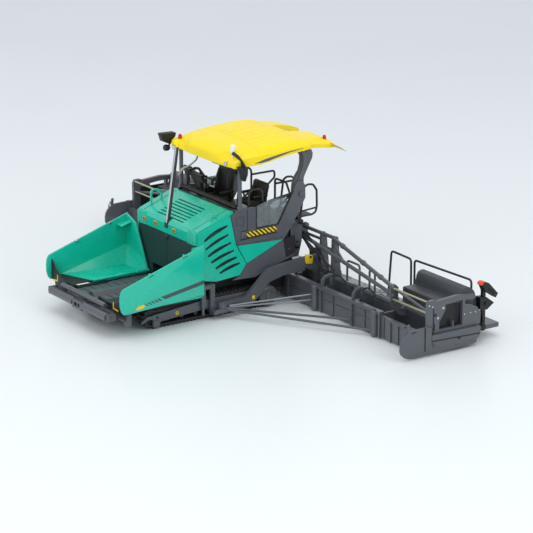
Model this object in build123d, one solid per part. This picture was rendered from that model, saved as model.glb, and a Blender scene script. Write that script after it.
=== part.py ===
from build123d import *
import math
import os

os.makedirs("parts", exist_ok=True)

# Scale model of a tracked asphalt paver, 1:50, in millimetres.
# +X is the direction of travel, +Y the left side, +Z up. The model is drawn about the
# middle of the track's ground contact and moved at the end, so that the origin lies
# under the middle of its box.

# Overall reach
FRONT_X = 54.0
REAR_X = -92.0
END_GATE_Y = 123.0

# Tractor body
BODY_HALF = 25.0
SKIN = 0.9
FIT = 0.2
CORE_HALF = BODY_HALF - SKIN - FIT
CORE_REAR_X = -46.0
WALL_X = 6.4
CONVEYOR_Z = 12.4
CONVEYOR_WALL = 1.4
CONVEYOR_HALF = 13.6
TUNNEL_HALF = 12.0
TUNNEL_TOP_Z = 18.0
DECK_Z = 37.0
DECK_REAR_X = -50.0
CABINET_Z = 20.0
HOOD_TOP_Z = 47.4
STACK_NOTCH_X = 3.6
STACK_NOTCH_HALF = 1.6
STACK_NOTCH_Z = 37.2

# Tracks
TRACK_LENGTH = 70.6
TRACK_HEIGHT = 10.6
TRACK_WIDTH = 6.0
TRACK_OUTER_Y = BODY_HALF - 0.7
TRACK_MID_X = -1.3
BAND = 1.0
SHOE_PITCH = 2.0
SHOE_HEIGHT = 0.7
SHOE_SHARE = 0.62

# Hopper
HOPPER_FRONT_X = 46.9
BUMPER_X = 43.9
WING_REAR_X = 7.1
WING_FRONT_X = 49.5
WING_HALF = 32.8
WING_WALL = 1.0
HINGE_Y = 14.3
HINGE_Z = 14.0
APRON_X = 47.3
APRON_WALL = 0.8

# Push rollers
ROLLER_X = 52.1
ROLLER_Z = 9.5
ROLLER_R = 1.9
ROLLER_END_Y = 26.0
ROLLER_AXLE_R = 0.7
PUSH_PIVOT_X = 49.2
PIVOT_PIN_R = 0.6
YOKE_REAR_X = 45.6
YOKE_HALF = 1.6
YOKE_TOP_Z = 12.2
RUNNING_GAP = 0.05

# Canopy
CANOPY_HALF = BODY_HALF + 1.5
CANOPY_FRONT_X = -12.9
CANOPY_REAR_X = -71.0
CANOPY_TOP_Z = 76.6
CANOPY_WALL = 1.0
SHOULDER = 4.5
POST_X = -16.1
POST_Y = BODY_HALF - 0.6
PILLAR_X = -50.2
PILLAR_Z = 50.2

# Tow arms and screed
TOW_X = -5.0
TOW_Z = 5.0
TOW_PIN_R = 0.8
ARM_Y0 = BODY_HALF + 2.2
ARM_WALL = 2.0
SCREED_FRONT_X = -57.6
SCREED_REAR_X = -78.0
SOLE_Z = 0.3
SOLE_WALL = 2.6
SCREED_TOP_Z = 13.4
SCREED_LIP_Z = 12.4
BASE_HALF = 25.0
SECTION_Y = (BASE_HALF, 55.0, 86.0)
SECTION_GAP = 0.4
OUTER_END_Y = 119.0
TOWER_X = -60.0
TOWER_TOP_Z = 31.0

# Augers
TUNNEL_X = CORE_REAR_X - 0.4
TUNNEL_POST_R = 1.7
TUNNEL_POST_Y = (42.6, 88.0)
TUNNEL_WALL = 1.0
GUY_RIB_Y = 70.7
TUNNEL_END_Y = 92.0
WING_PLATE_Y = 118.4
TUNNEL_Z = (0.6, 11.6)
AUGER_X = -52.0
AUGER_Z = 5.2
AUGER_R = 4.1
AUGER_SHAFT_R = 1.3
AUGER_PITCH = 8.0
AUGER_INNER_Y = 3.2
FLIGHT_GAP = 1.0
FLIGHT_WALL = 0.6
FLIGHT_STEPS = 8
AUGER_END_Y = 91.6
BEARING_Y = (21.2, 45.2, 69.2, 91.2)

# Round bars under this radius get eight flats
SLIM_R = 1.35

parts = {}


def block(x0, x1, y0, y1, z0, z1):
    middle = Pos((x0 + x1) / 2, (y0 + y1) / 2, (z0 + z1) / 2)
    return middle * Box(abs(x1 - x0), abs(y1 - y0), abs(z1 - z0))


def side_plate(outline, y0, y1):
    """An outline in X and Z, as thick as the span from y0 to y1."""
    face = make_face(Polyline(*outline, close=True))
    return extrude(Plane.XZ.offset(-y0) * face, amount=-(y1 - y0))


def front_plate(outline, x0, x1):
    """An outline in Y and Z, as thick as the span from x0 to x1."""
    face = make_face(Polyline(*outline, close=True))
    return extrude(Plane.YZ.offset(x0) * face, amount=x1 - x0)


def rod(start, end, radius, turned=False):
    """A round bar. A turned one is a true circle; a plain one has flats."""
    start = Vector(*start)
    run = Vector(*end) - start
    flats = 8 if radius < SLIM_R else 14
    section = Circle(radius) if turned else RegularPolygon(radius, flats)
    return extrude(Plane(start, z_dir=run) * section, amount=run.length)


def cross_rod(x, z, y0, y1, radius, turned=False):
    return rod((x, y0, z), (x, y1, z), radius, turned)


def bent_rod(points, radius, bend):
    """A bent bar: straight runs, with each corner rounded off in three short steps."""
    corners = [Vector(*point) for point in points]
    route = [corners[0]]
    for before, corner, after in zip(corners, corners[1:], corners[2:]):
        towards = (before - corner).normalized()
        away = (after - corner).normalized()
        turn = math.radians(180 - towards.get_angle(away))
        room = 0.45 * min((before - corner).length, (after - corner).length)
        setback = min(bend * math.tan(turn / 2), room)
        start = corner + towards * setback
        end = corner + away * setback
        for share in (0.0, 1 / 3, 2 / 3, 1.0):
            near = start + (corner - start) * share
            far = corner + (end - corner) * share
            route.append(near + (far - near) * share)
    route.append(corners[-1])
    path = Polyline(*route)
    section = Plane(path @ 0, z_dir=path % 0) * RegularPolygon(radius, 6)
    return sweep(section, path=path, transition=Transition.RIGHT)


def faceted(rings):
    """A solid through rings of corners, skinned between them with flat triangles."""
    faces = [make_face(Polyline(*ring, close=True)) for ring in (rings[0], rings[-1])]
    corners = len(rings[0])
    for near, far in zip(rings, rings[1:]):
        for k in range(corners):
            step = (k + 1) % corners
            faces.append(make_face(Polyline(near[k], near[step], far[step], close=True)))
            faces.append(make_face(Polyline(near[k], far[step], far[k], close=True)))
    return Solid(Shell([face.face() for face in faces]))


def mirrored(shape):
    return mirror(shape, about=Plane.XZ)


def joined(pieces):
    """One solid, or several that lie apart, out of pieces that carry each other."""
    return pieces[0].fuse(*pieces[1:])


def apart(pieces):
    """Several solids of one kind that lie apart."""
    solids = []
    for piece in pieces:
        solids.extend(piece.solids())
    return Compound(children=solids)


def both_sides(shape):
    return apart([shape, mirrored(shape)])


def pair(name, shape):
    parts[name + "_left"] = shape
    parts[name + "_right"] = mirrored(shape)


# Tracks: a band with its shoes standing out all round
def track():
    outer_r = TRACK_HEIGHT / 2
    band_r = outer_r - SHOE_HEIGHT
    straight = TRACK_LENGTH - TRACK_HEIGHT
    lap = 2 * straight + 2 * math.pi * band_r
    count = round(lap / SHOE_PITCH)
    shoe = Rectangle(lap / count * SHOE_SHARE, SHOE_HEIGHT * 2)
    ring = SlotOverall(straight + 2 * band_r, 2 * band_r)
    ring -= SlotOverall(straight + 2 * (band_r - BAND), 2 * (band_r - BAND))
    shoes = []
    for i in range(count):
        s = lap * i / count
        half_turn = math.pi * band_r
        if s < straight:
            place = Pos(s - straight / 2, band_r)
        elif s < straight + half_turn:
            turn = (s - straight) / band_r
            place = Pos(straight / 2, 0) * Rot(0, 0, -math.degrees(turn)) * Pos(0, band_r)
        elif s < 2 * straight + half_turn:
            place = Pos(straight / 2 - (s - straight - half_turn), -band_r)
        else:
            turn = (s - 2 * straight - half_turn) / band_r
            place = Pos(-straight / 2, 0) * Rot(0, 0, 180 - math.degrees(turn)) * Pos(0, band_r)
        shoes.append(place * shoe)
    lugged = (ring + shoes) & SlotOverall(TRACK_LENGTH, TRACK_HEIGHT)
    profile = Pos(TRACK_MID_X, outer_r) * lugged
    inner_y = TRACK_OUTER_Y - TRACK_WIDTH
    return extrude(Plane.XZ.offset(-inner_y) * profile, amount=-TRACK_WIDTH)


pair("track", track())


# Track frames: the beam inside the loop, its rollers, and the side plate with its foot
PLATE_Y = TRACK_OUTER_Y + 0.2
PLATE_WALL = 0.8
CHASSIS_GAP = 0.8
BEAM_INSET = 1.0
FINAL_DRIVE_X = -31.4
FINAL_DRIVE_R = 4.8
AXLE_Z = TRACK_HEIGHT / 2
FOOT_X = 27.7
FOOT_R = 1.9
ROLLERS = 7
ROLLER_SPAN = 44.0
TRACK_ROLLER_R = 1.2


def track_frame():
    inside = TRACK_HEIGHT / 2 - SHOE_HEIGHT - BAND - FIT
    inner_y = TRACK_OUTER_Y - TRACK_WIDTH
    half = (TRACK_LENGTH - TRACK_HEIGHT) / 2
    beam_z0 = AXLE_Z - inside + 1.2
    pieces = [block(TRACK_MID_X - half, TRACK_MID_X + half, inner_y + BEAM_INSET,
                    TRACK_OUTER_Y - BEAM_INSET, beam_z0, AXLE_Z + inside)]
    for x in (TRACK_MID_X - half, TRACK_MID_X + half):
        pieces.append(cross_rod(x, AXLE_Z, inner_y + 0.6, TRACK_OUTER_Y - 0.6, inside))
        pieces.append(cross_rod(x, AXLE_Z, inner_y - CHASSIS_GAP, PLATE_Y + PLATE_WALL, 1.2))
    for i in range(ROLLERS):
        x = TRACK_MID_X - ROLLER_SPAN / 2 + ROLLER_SPAN * i / (ROLLERS - 1)
        z = AXLE_Z - inside + TRACK_ROLLER_R
        pieces.append(cross_rod(x, z, TRACK_OUTER_Y - BEAM_INSET, PLATE_Y + 0.2, TRACK_ROLLER_R))
    outline = ((29.3, 6.5), (3.8, 8.2), (-28.0, 8.6), (-28.0, 3.5), (24.8, 3.5), (27.0, 2.0), (29.4, 3.2))
    plate = side_plate(outline, PLATE_Y, PLATE_Y + PLATE_WALL)
    eye = Pos(27.2, AXLE_Z) * SlotOverall(3.2, 1.2)
    plate -= extrude(Plane.XZ.offset(-PLATE_Y + 1) * eye, amount=-4)
    pieces.append(plate)
    arch = ((28.6, 6.5), (32.2, 6.3), (35.6, 4.1), (34.6, 3.1), (31.7, 4.9), (29.6, 4.4))
    pieces.append(side_plate(arch, PLATE_Y, PLATE_Y + PLATE_WALL))
    pieces.append(cross_rod(FOOT_X, FOOT_R + 0.4, PLATE_Y, PLATE_Y + PLATE_WALL, FOOT_R))
    drive_y = PLATE_Y + 0.2
    pieces.append(cross_rod(FINAL_DRIVE_X, AXLE_Z, PLATE_Y, drive_y + 1.4, FINAL_DRIVE_R))
    pieces.append(cross_rod(FINAL_DRIVE_X, AXLE_Z, drive_y, drive_y + 2.0, 2.0))
    return joined(pieces)


parts["track_frames"] = both_sides(track_frame())


# Chassis: the box between the tracks, with cross beams out to the track frames
def chassis():
    inner_y = TRACK_OUTER_Y - TRACK_WIDTH - CHASSIS_GAP
    low = CONVEYOR_Z - CONVEYOR_WALL
    pieces = [block(CORE_REAR_X, BUMPER_X, -inner_y, inner_y, 5.0, low)]
    pieces[0] -= block(CORE_REAR_X + 8, HOPPER_FRONT_X - 12, -inner_y + 3, inner_y - 3, 4.0, 8.0)
    for x in (-22.0, 20.0):
        reach = inner_y + CHASSIS_GAP + BEAM_INSET
        pieces.append(block(x - 2.5, x + 2.5, -reach, reach, 5.4, 8.2))
    return joined(pieces)


parts["chassis_frame"] = chassis()


# Conveyor floor with its drag bars, running from the hopper to the augers
def conveyor():
    floor = block(CORE_REAR_X, HOPPER_FRONT_X, -CONVEYOR_HALF, CONVEYOR_HALF,
                  CONVEYOR_Z - CONVEYOR_WALL, CONVEYOR_Z)
    floor -= block(YOKE_REAR_X, HOPPER_FRONT_X + 1, -YOKE_HALF, YOKE_HALF, CONVEYOR_Z - 2, YOKE_TOP_Z)
    ridge = ((-2.6, CONVEYOR_Z), (2.6, CONVEYOR_Z), (1.4, CONVEYOR_Z + 1.6), (-1.4, CONVEYOR_Z + 1.6))
    pieces = [floor, front_plate(ridge, WALL_X + 1, HOPPER_FRONT_X - 1)]
    for side in (-1, 1):
        for i in range(9):
            x = 11.0 + 4.0 * i
            y0 = side * 3.4
            y1 = side * 11.0
            pieces.append(block(x, x + 0.9, min(y0, y1), max(y0, y1), CONVEYOR_Z, CONVEYOR_Z + 0.4))
    return joined(pieces)


parts["conveyor_floor"] = conveyor()


# Body core: engine and drive housing under the hood, with the conveyor tunnel through it
def core():
    outline = ((CORE_REAR_X, 16.2), (5.0, 16.2), (5.0, 39.5), (-12.7, 45.9), (-16.4, 45.9),
               (-16.4, DECK_Z - 1.0), (-44.0, DECK_Z - 1.0), (-44.0, 26.0), (CORE_REAR_X, 24.0))
    upper = side_plate(outline, -CORE_HALF, CORE_HALF)
    keel = TRACK_OUTER_Y - TRACK_WIDTH - 0.3
    lower = block(CORE_REAR_X, 5.0, -keel, keel, CONVEYOR_Z - CONVEYOR_WALL, 16.2)
    lower -= block(CORE_REAR_X - 1, 6.0, -CONVEYOR_HALF - FIT, CONVEYOR_HALF + FIT, 0.0, CONVEYOR_Z)
    tunnel = block(CORE_REAR_X - 1, 6.0, -TUNNEL_HALF, TUNNEL_HALF, CONVEYOR_Z, TUNNEL_TOP_Z)
    notch = block(STACK_NOTCH_X, 6.0, -STACK_NOTCH_HALF, STACK_NOTCH_HALF, STACK_NOTCH_Z, 45.0)
    return upper + lower - tunnel - notch


parts["body_core"] = core()


# Hopper rear wall, open at the foot for the conveyor
def rear_wall():
    half = BODY_HALF - 1.4
    wall = block(5.1, WALL_X, -half, half, CONVEYOR_Z + 0.1, 34.5)
    wall -= block(5.0, WALL_X + 1, -TUNNEL_HALF, TUNNEL_HALF, CONVEYOR_Z - 1, TUNNEL_TOP_Z)
    knob = rod((WALL_X - 0.3, 0.4, 33.2), (WALL_X + 0.3, 0.4, 33.2), 1.1)
    return wall + knob


parts["hopper_rear_wall"] = rear_wall()


# Hood: a pressed shell with louvres across the slope and a notch for the exhaust
PANEL = ((WALL_X - 0.6, 39.8), (-11.7, 45.2), (-14.7, 31.6), (-20.2, 22.1), (-16.7, 17.3),
         (-4.0, 16.4), (1.7, 17.6), (WALL_X - 0.6, 20.0))


def hood():
    outer = ((WALL_X, 34.7), (WALL_X, 39.2), (5.2, 40.9), (-12.6, HOOD_TOP_Z), (-14.0, 47.2),
             (-14.0, 44.9), (5.2, 38.8), (5.2, 34.7))
    inner = ((5.2, 34.0), (5.2, 39.9), (-12.6, 46.3), (-15.0, 46.1), (-15.0, 44.0), (4.0, 30.0))
    half = BODY_HALF - 0.2
    shell = side_plate(outer, -half, half)
    top = ((WALL_X, 34.7), (WALL_X, 39.2), (5.2, 40.9), (-12.6, HOOD_TOP_Z), (-14.0, 47.2),
           (-14.0, 46.4), (-12.7, 46.5), (4.7, 40.1), (5.5, 39.0), (5.5, 34.7))
    shell -= side_plate(inner, -half + SKIN, half - SKIN)
    shell += side_plate(top, -half, half)
    slope = math.degrees(math.atan2(HOOD_TOP_Z - 40.9, 5.2 + 12.6))
    slot = Box(0.8, 22.0, 6.0)
    slots = []
    for i in range(7):
        x = 3.4 - 1.9 * i
        z = 40.9 + (5.2 - x) * math.tan(math.radians(slope))
        slots.append(Pos(x, -1.0, z) * Rot(0, slope, 0) * slot)
    shell -= slots
    shell -= block(STACK_NOTCH_X, 8.0, -STACK_NOTCH_HALF, STACK_NOTCH_HALF, STACK_NOTCH_Z, 45.0)
    for side in (-1, 1):
        groove = Pos(-3.7, side * 20.8, 44.7) * Rot(0, slope, 0) * Box(18.0, 0.5, 1.0)
        shell -= groove
    seat_plate = side_plate(PANEL, BODY_HALF - SKIN, BODY_HALF + 1)
    corner = block(-15.0, -11.7, BODY_HALF - SKIN, BODY_HALF, 40.0, 48.0)
    for piece in (seat_plate, corner):
        shell = shell - piece - mirrored(piece)
    return shell


parts["hood"] = hood()

# Lifting eyes on the hood: bent rod loops
EYE_R = 0.55
EYE_PATH = ((-5.6, 20.2, 44.0), (-5.6, 20.2, 49.4), (-1.2, 20.2, 48.6), (-1.2, 20.2, 42.4))
parts["hood_eyes"] = both_sides(bent_rod(EYE_PATH, EYE_R, 1.7) - parts["hood"])


# Vented side panels beside the hood
VENTS = (
    # front x, front z, rear x, rear z
    (2.2, 36.0, -10.2, 41.4),
    (1.6, 32.2, -10.6, 37.3),
    (0.2, 28.7, -11.8, 33.3),
    (-1.6, 25.6, -13.5, 29.5),
    (-3.8, 22.4, -15.1, 26.0),
    (-6.1, 20.0, -16.7, 23.0),
)
VENT_WIDTH = 0.9


def side_panel():
    panel = side_plate(PANEL, BODY_HALF - SKIN, BODY_HALF + 0.2)
    for x0, z0, x1, z1 in VENTS:
        length = math.hypot(x1 - x0, z1 - z0)
        angle = math.degrees(math.atan2(z1 - z0, x1 - x0))
        slot = Pos((x0 + x1) / 2, (z0 + z1) / 2) * Rot(0, 0, angle) * Rectangle(length, VENT_WIDTH)
        panel -= extrude(Plane.XZ.offset(-BODY_HALF + 2) * slot, amount=-4)
    return panel


parts["side_panels"] = both_sides(side_panel())


# Grey side bodies, which sweep up into the rear pillars
def side_body():
    outline = ((-12.2, 45.3), (-17.5, 48.2), (-25.5, 47.7), (-25.5, 37.6), (-37.6, 37.6), (-46.6, 53.0),
               (-48.0, 56.0), (-49.0, 56.4), (-51.4, 55.4), (-52.5, 53.8), (-52.6, 48.0), (-45.0, 35.5),
               (-40.5, 30.0), (-46.5, 27.0), (-46.5, 21.5),
               (-25.4, 14.9), (-13.0, 15.4), (-17.0, 17.1), (-20.6, 22.1), (-15.1, 31.7))
    trim = ((-15.3, 31.6), (-39.2, 31.6), (-40.6, 33.6), (-15.7, 33.3))
    panel = side_plate(outline, BODY_HALF - SKIN, BODY_HALF)
    boss = cross_rod(PILLAR_X, PILLAR_Z, BODY_HALF - SKIN, BODY_HALF + 0.7, 1.3)
    return joined([panel, side_plate(trim, BODY_HALF - SKIN, BODY_HALF + 0.3), boss])


parts["side_bodies"] = both_sides(side_body())

WEDGE = ((-15.5, 31.1), (-20.4, 22.2), (-40.0, 30.2))
parts["side_wedges"] = both_sides(side_plate(WEDGE, BODY_HALF, BODY_HALF + 0.3))
HAZARD = ((-20.7, 34.2), (-36.7, 34.9), (-36.4, 37.2), (-20.4, 36.6))
parts["hazard_strips"] = both_sides(side_plate(HAZARD, BODY_HALF, BODY_HALF + 0.2))


# Side windows, clear plastic between the side body and the rear pillar
WINDOW = ((-25.7, 37.8), (-37.6, 37.8), (-43.2, 47.4), (-41.5, 49.6), (-33.2, 49.8), (-25.7, 47.6))
parts["side_windows"] = both_sides(side_plate(WINDOW, BODY_HALF - 0.6, BODY_HALF - 0.2))


# Operator's platform: deck, front roll, seats, console and rails
def platform():
    half = CORE_HALF
    pieces = [block(DECK_REAR_X, -16.6, -half, half, DECK_Z - 0.9, DECK_Z)]
    pieces.append(block(-22.0, -16.6, -half, half, DECK_Z, 46.4))
    cabinet = ((CORE_REAR_X - FIT, DECK_Z), (-52.4, DECK_Z), (-52.4, 27.0), (-50.6, CABINET_Z),
               (CORE_REAR_X - FIT, CABINET_Z))
    pieces.append(side_plate(cabinet, -half + 1.4, half - 1.4))
    return joined(pieces)


parts["operator_platform"] = platform()
parts["windscreen_roll"] = cross_rod(-17.2, 48.0, 1.5 - CORE_HALF, CORE_HALF - 1.5, 1.2)


def seat(x, y, width, top_z):
    """A moulded seat on its pedestal: cushion, backrest and armrests."""
    half = width / 2
    base = block(x - 3.0, x + 1.0, y - 2.0, y + 2.0, DECK_Z, 43.8)
    cushion = block(x - 4.2, x + 2.2, y - half, y + half, 43.6, 46.0)
    cushion = fillet(cushion.edges().filter_by(Axis.Y), 0.9)
    back = ((x - 2.8, 45.4), (x - 4.6, 45.4), (x - 6.4, top_z - 1.0), (x - 5.4, top_z),
            (x - 4.2, top_z - 0.6))
    rest = side_plate(back, y - half, y + half)
    pieces = [base, cushion, rest]
    for side in (-1, 1):
        arm_y = y + side * (half + 0.4)
        pieces.append(block(x - 5.0, x + 2.2, arm_y - 0.5, arm_y + 0.5, 48.6, 49.6))
        pieces.append(block(x - 4.8, x - 3.2, arm_y - 0.5, arm_y + 0.5, 45.0, 49.0))
    return joined(pieces)


parts["operator_seat_right"] = seat(-24.5, -4.5, 9.6, 61.4)
parts["operator_seat_left"] = seat(-33.0, 11.0, 8.6, 55.6)


def console():
    outline = ((-18.7, 46.4), (-21.0, 46.4), (-21.8, 51.6), (-20.3, 53.2), (-18.9, 51.8))
    desk = side_plate(outline, -17.0, -9.4)
    post = block(-30.0, -27.6, -15.0, -12.6, DECK_Z, 47.0)
    box = side_plate(((-25.0, 47.0), (-31.4, 47.0), (-31.4, 50.4), (-25.6, 48.4)), -16.6, -11.0)
    tray = block(-26.0, -18.7, -15.6, -13.4, 46.4, 47.6)
    return joined([desk, post, box, tray])


parts["control_console"] = console()

RAIL_R = 0.5
RAIL_BEND = 1.6
REAR_RAIL_X = -47.6
GUARD_LEFT_Y = (7.8, 16.8)
GUARD_RIGHT_Y = (-11.7, -17.8)


def rails():
    """Side loops, sills over the side bodies, and the guards either side of the rear gap."""
    y = BODY_HALF - 2.0
    loop = ((-23.0, y, DECK_Z), (-23.0, y, 55.0), (-30.0, y, 55.0), (-31.6, y, DECK_Z))
    made = [bent_rod(loop, RAIL_R, RAIL_BEND)]
    x = REAR_RAIL_X
    for inner, outer in (GUARD_LEFT_Y, GUARD_RIGHT_Y):
        side = math.copysign(1.0, outer)
        guard = ((x + 9.0, inner, DECK_Z), (x, inner, 44.4), (x, inner, 54.0), (x, outer, 54.0),
                 (x, outer + side * 3.4, 48.8), (x + 1.4, outer + side * 3.4, DECK_Z))
        made.append(bent_rod(guard, RAIL_R, RAIL_BEND))
        hand = ((x - RAIL_R - 0.1, inner, 51.4), (-60.6, inner, 51.4), (-60.6, inner, 48.2),
                (x - 1.6, inner, 39.4), (x - 1.6, inner, DECK_Z))
        made.append(bent_rod(hand, RAIL_R, RAIL_BEND))
    sill = ((-33.6, y + 0.3, DECK_Z), (-33.6, y + 0.3, 48.6), (-46.4, y + 0.3, 50.4))
    made.append(bent_rod(sill, 0.7, RAIL_BEND))
    made += [mirrored(made[0]), mirrored(made[-1])]
    deck = block(DECK_REAR_X, -16.0, -CORE_HALF, CORE_HALF, DECK_Z - 2.0, DECK_Z)
    return apart([piece - deck for piece in made])


parts["platform_rails"] = rails()


# Rear steps: a tread behind the platform between two tall hoops, on the left
def rear_steps():
    hoops = (4.4, 21.0)
    tread = ((-50.6, DECK_Z), (-52.4, DECK_Z), (-53.2, 37.7), (-59.0, 37.7), (-59.0, 38.5), (-50.6, 38.5))
    made = [side_plate(tread, hoops[0] - 0.6, hoops[1] + 0.6)]
    for y in hoops:
        hoop = ((-52.9, y, 38.0), (-55.8, y, 51.6), (-60.4, y, 51.4), (-62.3, y, 39.6), (-58.4, y, 38.0))
        made.append(bent_rod(hoop, RAIL_R, 1.4))
        made.append(rod((-53.2, y, 40.4), (-62.0, y, 40.8), 0.35))
    return joined(made)


parts["rear_steps"] = rear_steps()

# Exhaust: a slim stack that leans back from the notch in the hood
STACK_FOOT = (5.0, 0.0, 37.6)
STACK_TOP = (0.3, 0.0, 71.2)
stack = rod(STACK_FOOT, STACK_TOP, 0.9)
stack += block(STACK_NOTCH_X, WALL_X - 0.6, -1.3, 1.3, STACK_NOTCH_Z, STACK_NOTCH_Z + 0.8)
parts["exhaust_stack"] = stack


# Canopy: a thin moulded roof, crowned across and along, with a narrower tail at the rear
ROOF = (
    # x, lip z, edge z, crown z, half width
    (CANOPY_FRONT_X, 68.0, 70.0, 70.9, CANOPY_HALF),
    (-16.5, 67.4, 70.8, 73.2, CANOPY_HALF),
    (-23.0, 66.7, 71.6, 75.2, CANOPY_HALF),
    (-41.0, 69.9, 72.8, CANOPY_TOP_Z, CANOPY_HALF),
    (-50.0, 70.8, 72.6, 75.8, CANOPY_HALF),
    (-54.5, 70.3, 71.8, 75.0, CANOPY_HALF),
    (-55.6, 70.3, 71.5, 74.4, CANOPY_HALF - 2.5),
    (CANOPY_REAR_X, 68.4, 69.4, 71.0, CANOPY_HALF - 4.5),
)


def roof_ring(row, drop, inset, shift):
    """One slice of the roof: flat foot, upright edge, sloped shoulder, gently crowned top."""
    x, lip, edge, crown, half = row
    reach = half - inset
    shoulder = reach - SHOULDER
    high = crown - inset
    side = ((reach, lip - drop), (reach, edge - 0.6 * inset), (shoulder, high - 0.9))
    across = [(-y, z) for y, z in side[:1]] + list(side) + [(0, high)] + [(-y, z) for y, z in side[:0:-1]]
    return [Vector(x + shift, y, z) for y, z in across]


def roof_outside():
    return faceted([roof_ring(row, 0.0, 0.0, 0.0) for row in ROOF])


def canopy():
    """The shell: the outer form less the same form set in by the wall."""
    shifts = [-CANOPY_WALL] + [0.0] * (len(ROOF) - 2) + [CANOPY_WALL]
    inside = faceted([roof_ring(row, 1.5, CANOPY_WALL, shift) for row, shift in zip(ROOF, shifts)])
    return roof_outside() - inside


parts["canopy_roof"] = canopy()


def front_posts():
    post = rod((POST_X, POST_Y, 48.4), (POST_X, POST_Y, 67.4), 0.9)
    head = block(POST_X - 1.6, POST_X + 1.6, POST_Y - 1.4, POST_Y + 1.4, 64.6, 67.2)
    foot = block(POST_X - 1.4, POST_X + 1.4, 22.6, CORE_HALF, 46.4, 49.6)
    step = block(POST_X - 1.4, POST_X + 1.4, 22.6, POST_Y + 0.6, 48.4, 49.6)
    return both_sides(joined([post, head, foot, step]))


parts["canopy_front_posts"] = front_posts()


def rear_posts():
    """Swept posts from the pillar joint up to the roof, with a raised rib down the outer face."""
    outline = ((-46.6, 52.0), (-46.9, 55.2), (-48.4, 58.4), (-50.1, 60.6), (-51.1, 64.1), (-51.1, 67.4),
               (-49.8, 69.3), (-50.6, 72.2), (-54.0, 71.5), (-54.2, 69.7), (-56.4, 69.7), (-57.2, 68.0),
               (-56.9, 65.8), (-55.4, 63.1), (-53.4, 59.5), (-52.3, 57.2), (-52.0, 49.0), (-46.8, 49.0))
    rib = ((-50.5, 69.3), (-53.8, 69.3), (-53.6, 64.8), (-52.6, 61.2), (-51.9, 56.8), (-48.7, 56.8),
           (-50.8, 60.8), (-51.7, 64.2), (-51.6, 67.4))
    outer = BODY_HALF - SKIN
    post = side_plate(outline, BODY_HALF - 3.0, outer)
    pin = cross_rod(PILLAR_X, PILLAR_Z, BODY_HALF - 3.4, outer, 1.3)
    return both_sides(joined([post, pin, side_plate(rib, BODY_HALF - 3.0, outer + 0.5)]))


parts["canopy_rear_posts"] = rear_posts()


# Lamps: clusters at both front corners of the canopy, marker lamps and the beacon
def lamp_cluster():
    pieces = [block(-16.5, -12.4, CANOPY_HALF, CANOPY_HALF + 1.2, 67.6, 69.4)]
    for z in (70.2, 66.6):
        pieces.append(rod((-14.0, CANOPY_HALF + 2.4, z), (-10.8, CANOPY_HALF + 2.4, z), 1.9))
    pieces.append(block(-14.6, -13.0, CANOPY_HALF + 0.6, CANOPY_HALF + 2.6, 65.6, 71.4))
    return joined(pieces)


parts["canopy_lamps"] = both_sides(lamp_cluster())
roof_skin = roof_outside()
parts["beacon"] = rod((-15.0, 23.0, 68.4), (-15.0, 23.0, 75.0), 0.9) - roof_skin
MARKERS = ((-14.8, -21.0, 70.0), (-68.4, 19.4, 69.6))
parts["marker_lamps"] = apart([rod((x, y, z), (x, y, z + 2.6), 0.8) - roof_skin for x, y, z in MARKERS])

# Wiper arm: a thin bent rod hung under the front of the canopy
ARM_PATH = ((-13.4, -4.6, 68.3), (-14.4, -8.0, 62.0), (-15.0, -17.0, 57.5), (-15.4, -23.2, 53.5))
parts["mirror_arm"] = bent_rod(ARM_PATH, 0.35, 3.0) - parts["canopy_roof"]


# Hopper wings: folded tubs, hinged along their inner edge
def wing():
    """A folded tub: side wall, sloping floor, raised rear end with a lip, and the hinge barrel."""
    side = ((WING_FRONT_X, 13.2), (WING_FRONT_X, 22.0), (47.8, 23.6), (WING_REAR_X, 37.1),
            (WING_REAR_X, 14.2), (47.0, 12.0), (48.6, 12.0))
    wall = side_plate(side, WING_HALF - WING_WALL, WING_HALF)
    reach = WING_HALF - 0.2
    floor_out = 19.0
    bend_x = 40.0
    root = ((HINGE_Y, HINGE_Z - 0.9), (HINGE_Y, HINGE_Z))
    floor = root + ((reach, floor_out), (reach, floor_out - 1.0))
    nose = root + ((reach, 13.4), (reach, 12.6))
    tub = front_plate(floor, WING_REAR_X, bend_x)
    sections = ((bend_x, floor), (APRON_X, nose))
    tip = faceted([[Vector(x, y, z) for y, z in ring] for x, ring in sections])
    back = ((HINGE_Y, HINGE_Z - 0.9), (HINGE_Y + 0.6, HINGE_Z + 1.6), (24.0, 33.8), (reach, 36.9),
            (reach, floor_out - 1.0))
    end = front_plate(back, WING_REAR_X, WING_REAR_X + WING_WALL)
    lip = block(WING_REAR_X, WING_REAR_X + 5.5, WING_HALF - 5.4, reach, 33.6, 34.2)
    barrel = rod((WING_REAR_X, HINGE_Y, HINGE_Z), (HOPPER_FRONT_X, HINGE_Y, HINGE_Z), 0.6)
    return joined([wall, tub, end, lip, barrel, tip])


pair("hopper_wing", wing())


def apron():
    reach = WING_HALF - WING_WALL
    outline = ((9.6, 14.9), (14.0, 14.2), (20.0, 14.4), (25.0, 15.4), (29.0, 18.0), (reach, 21.5),
               (reach, 12.4), (22.0, 12.0), (20.0, 13.2), (9.6, 13.6))
    return front_plate(outline, APRON_X, APRON_X + APRON_WALL)


pair("hopper_apron", apron())


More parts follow.
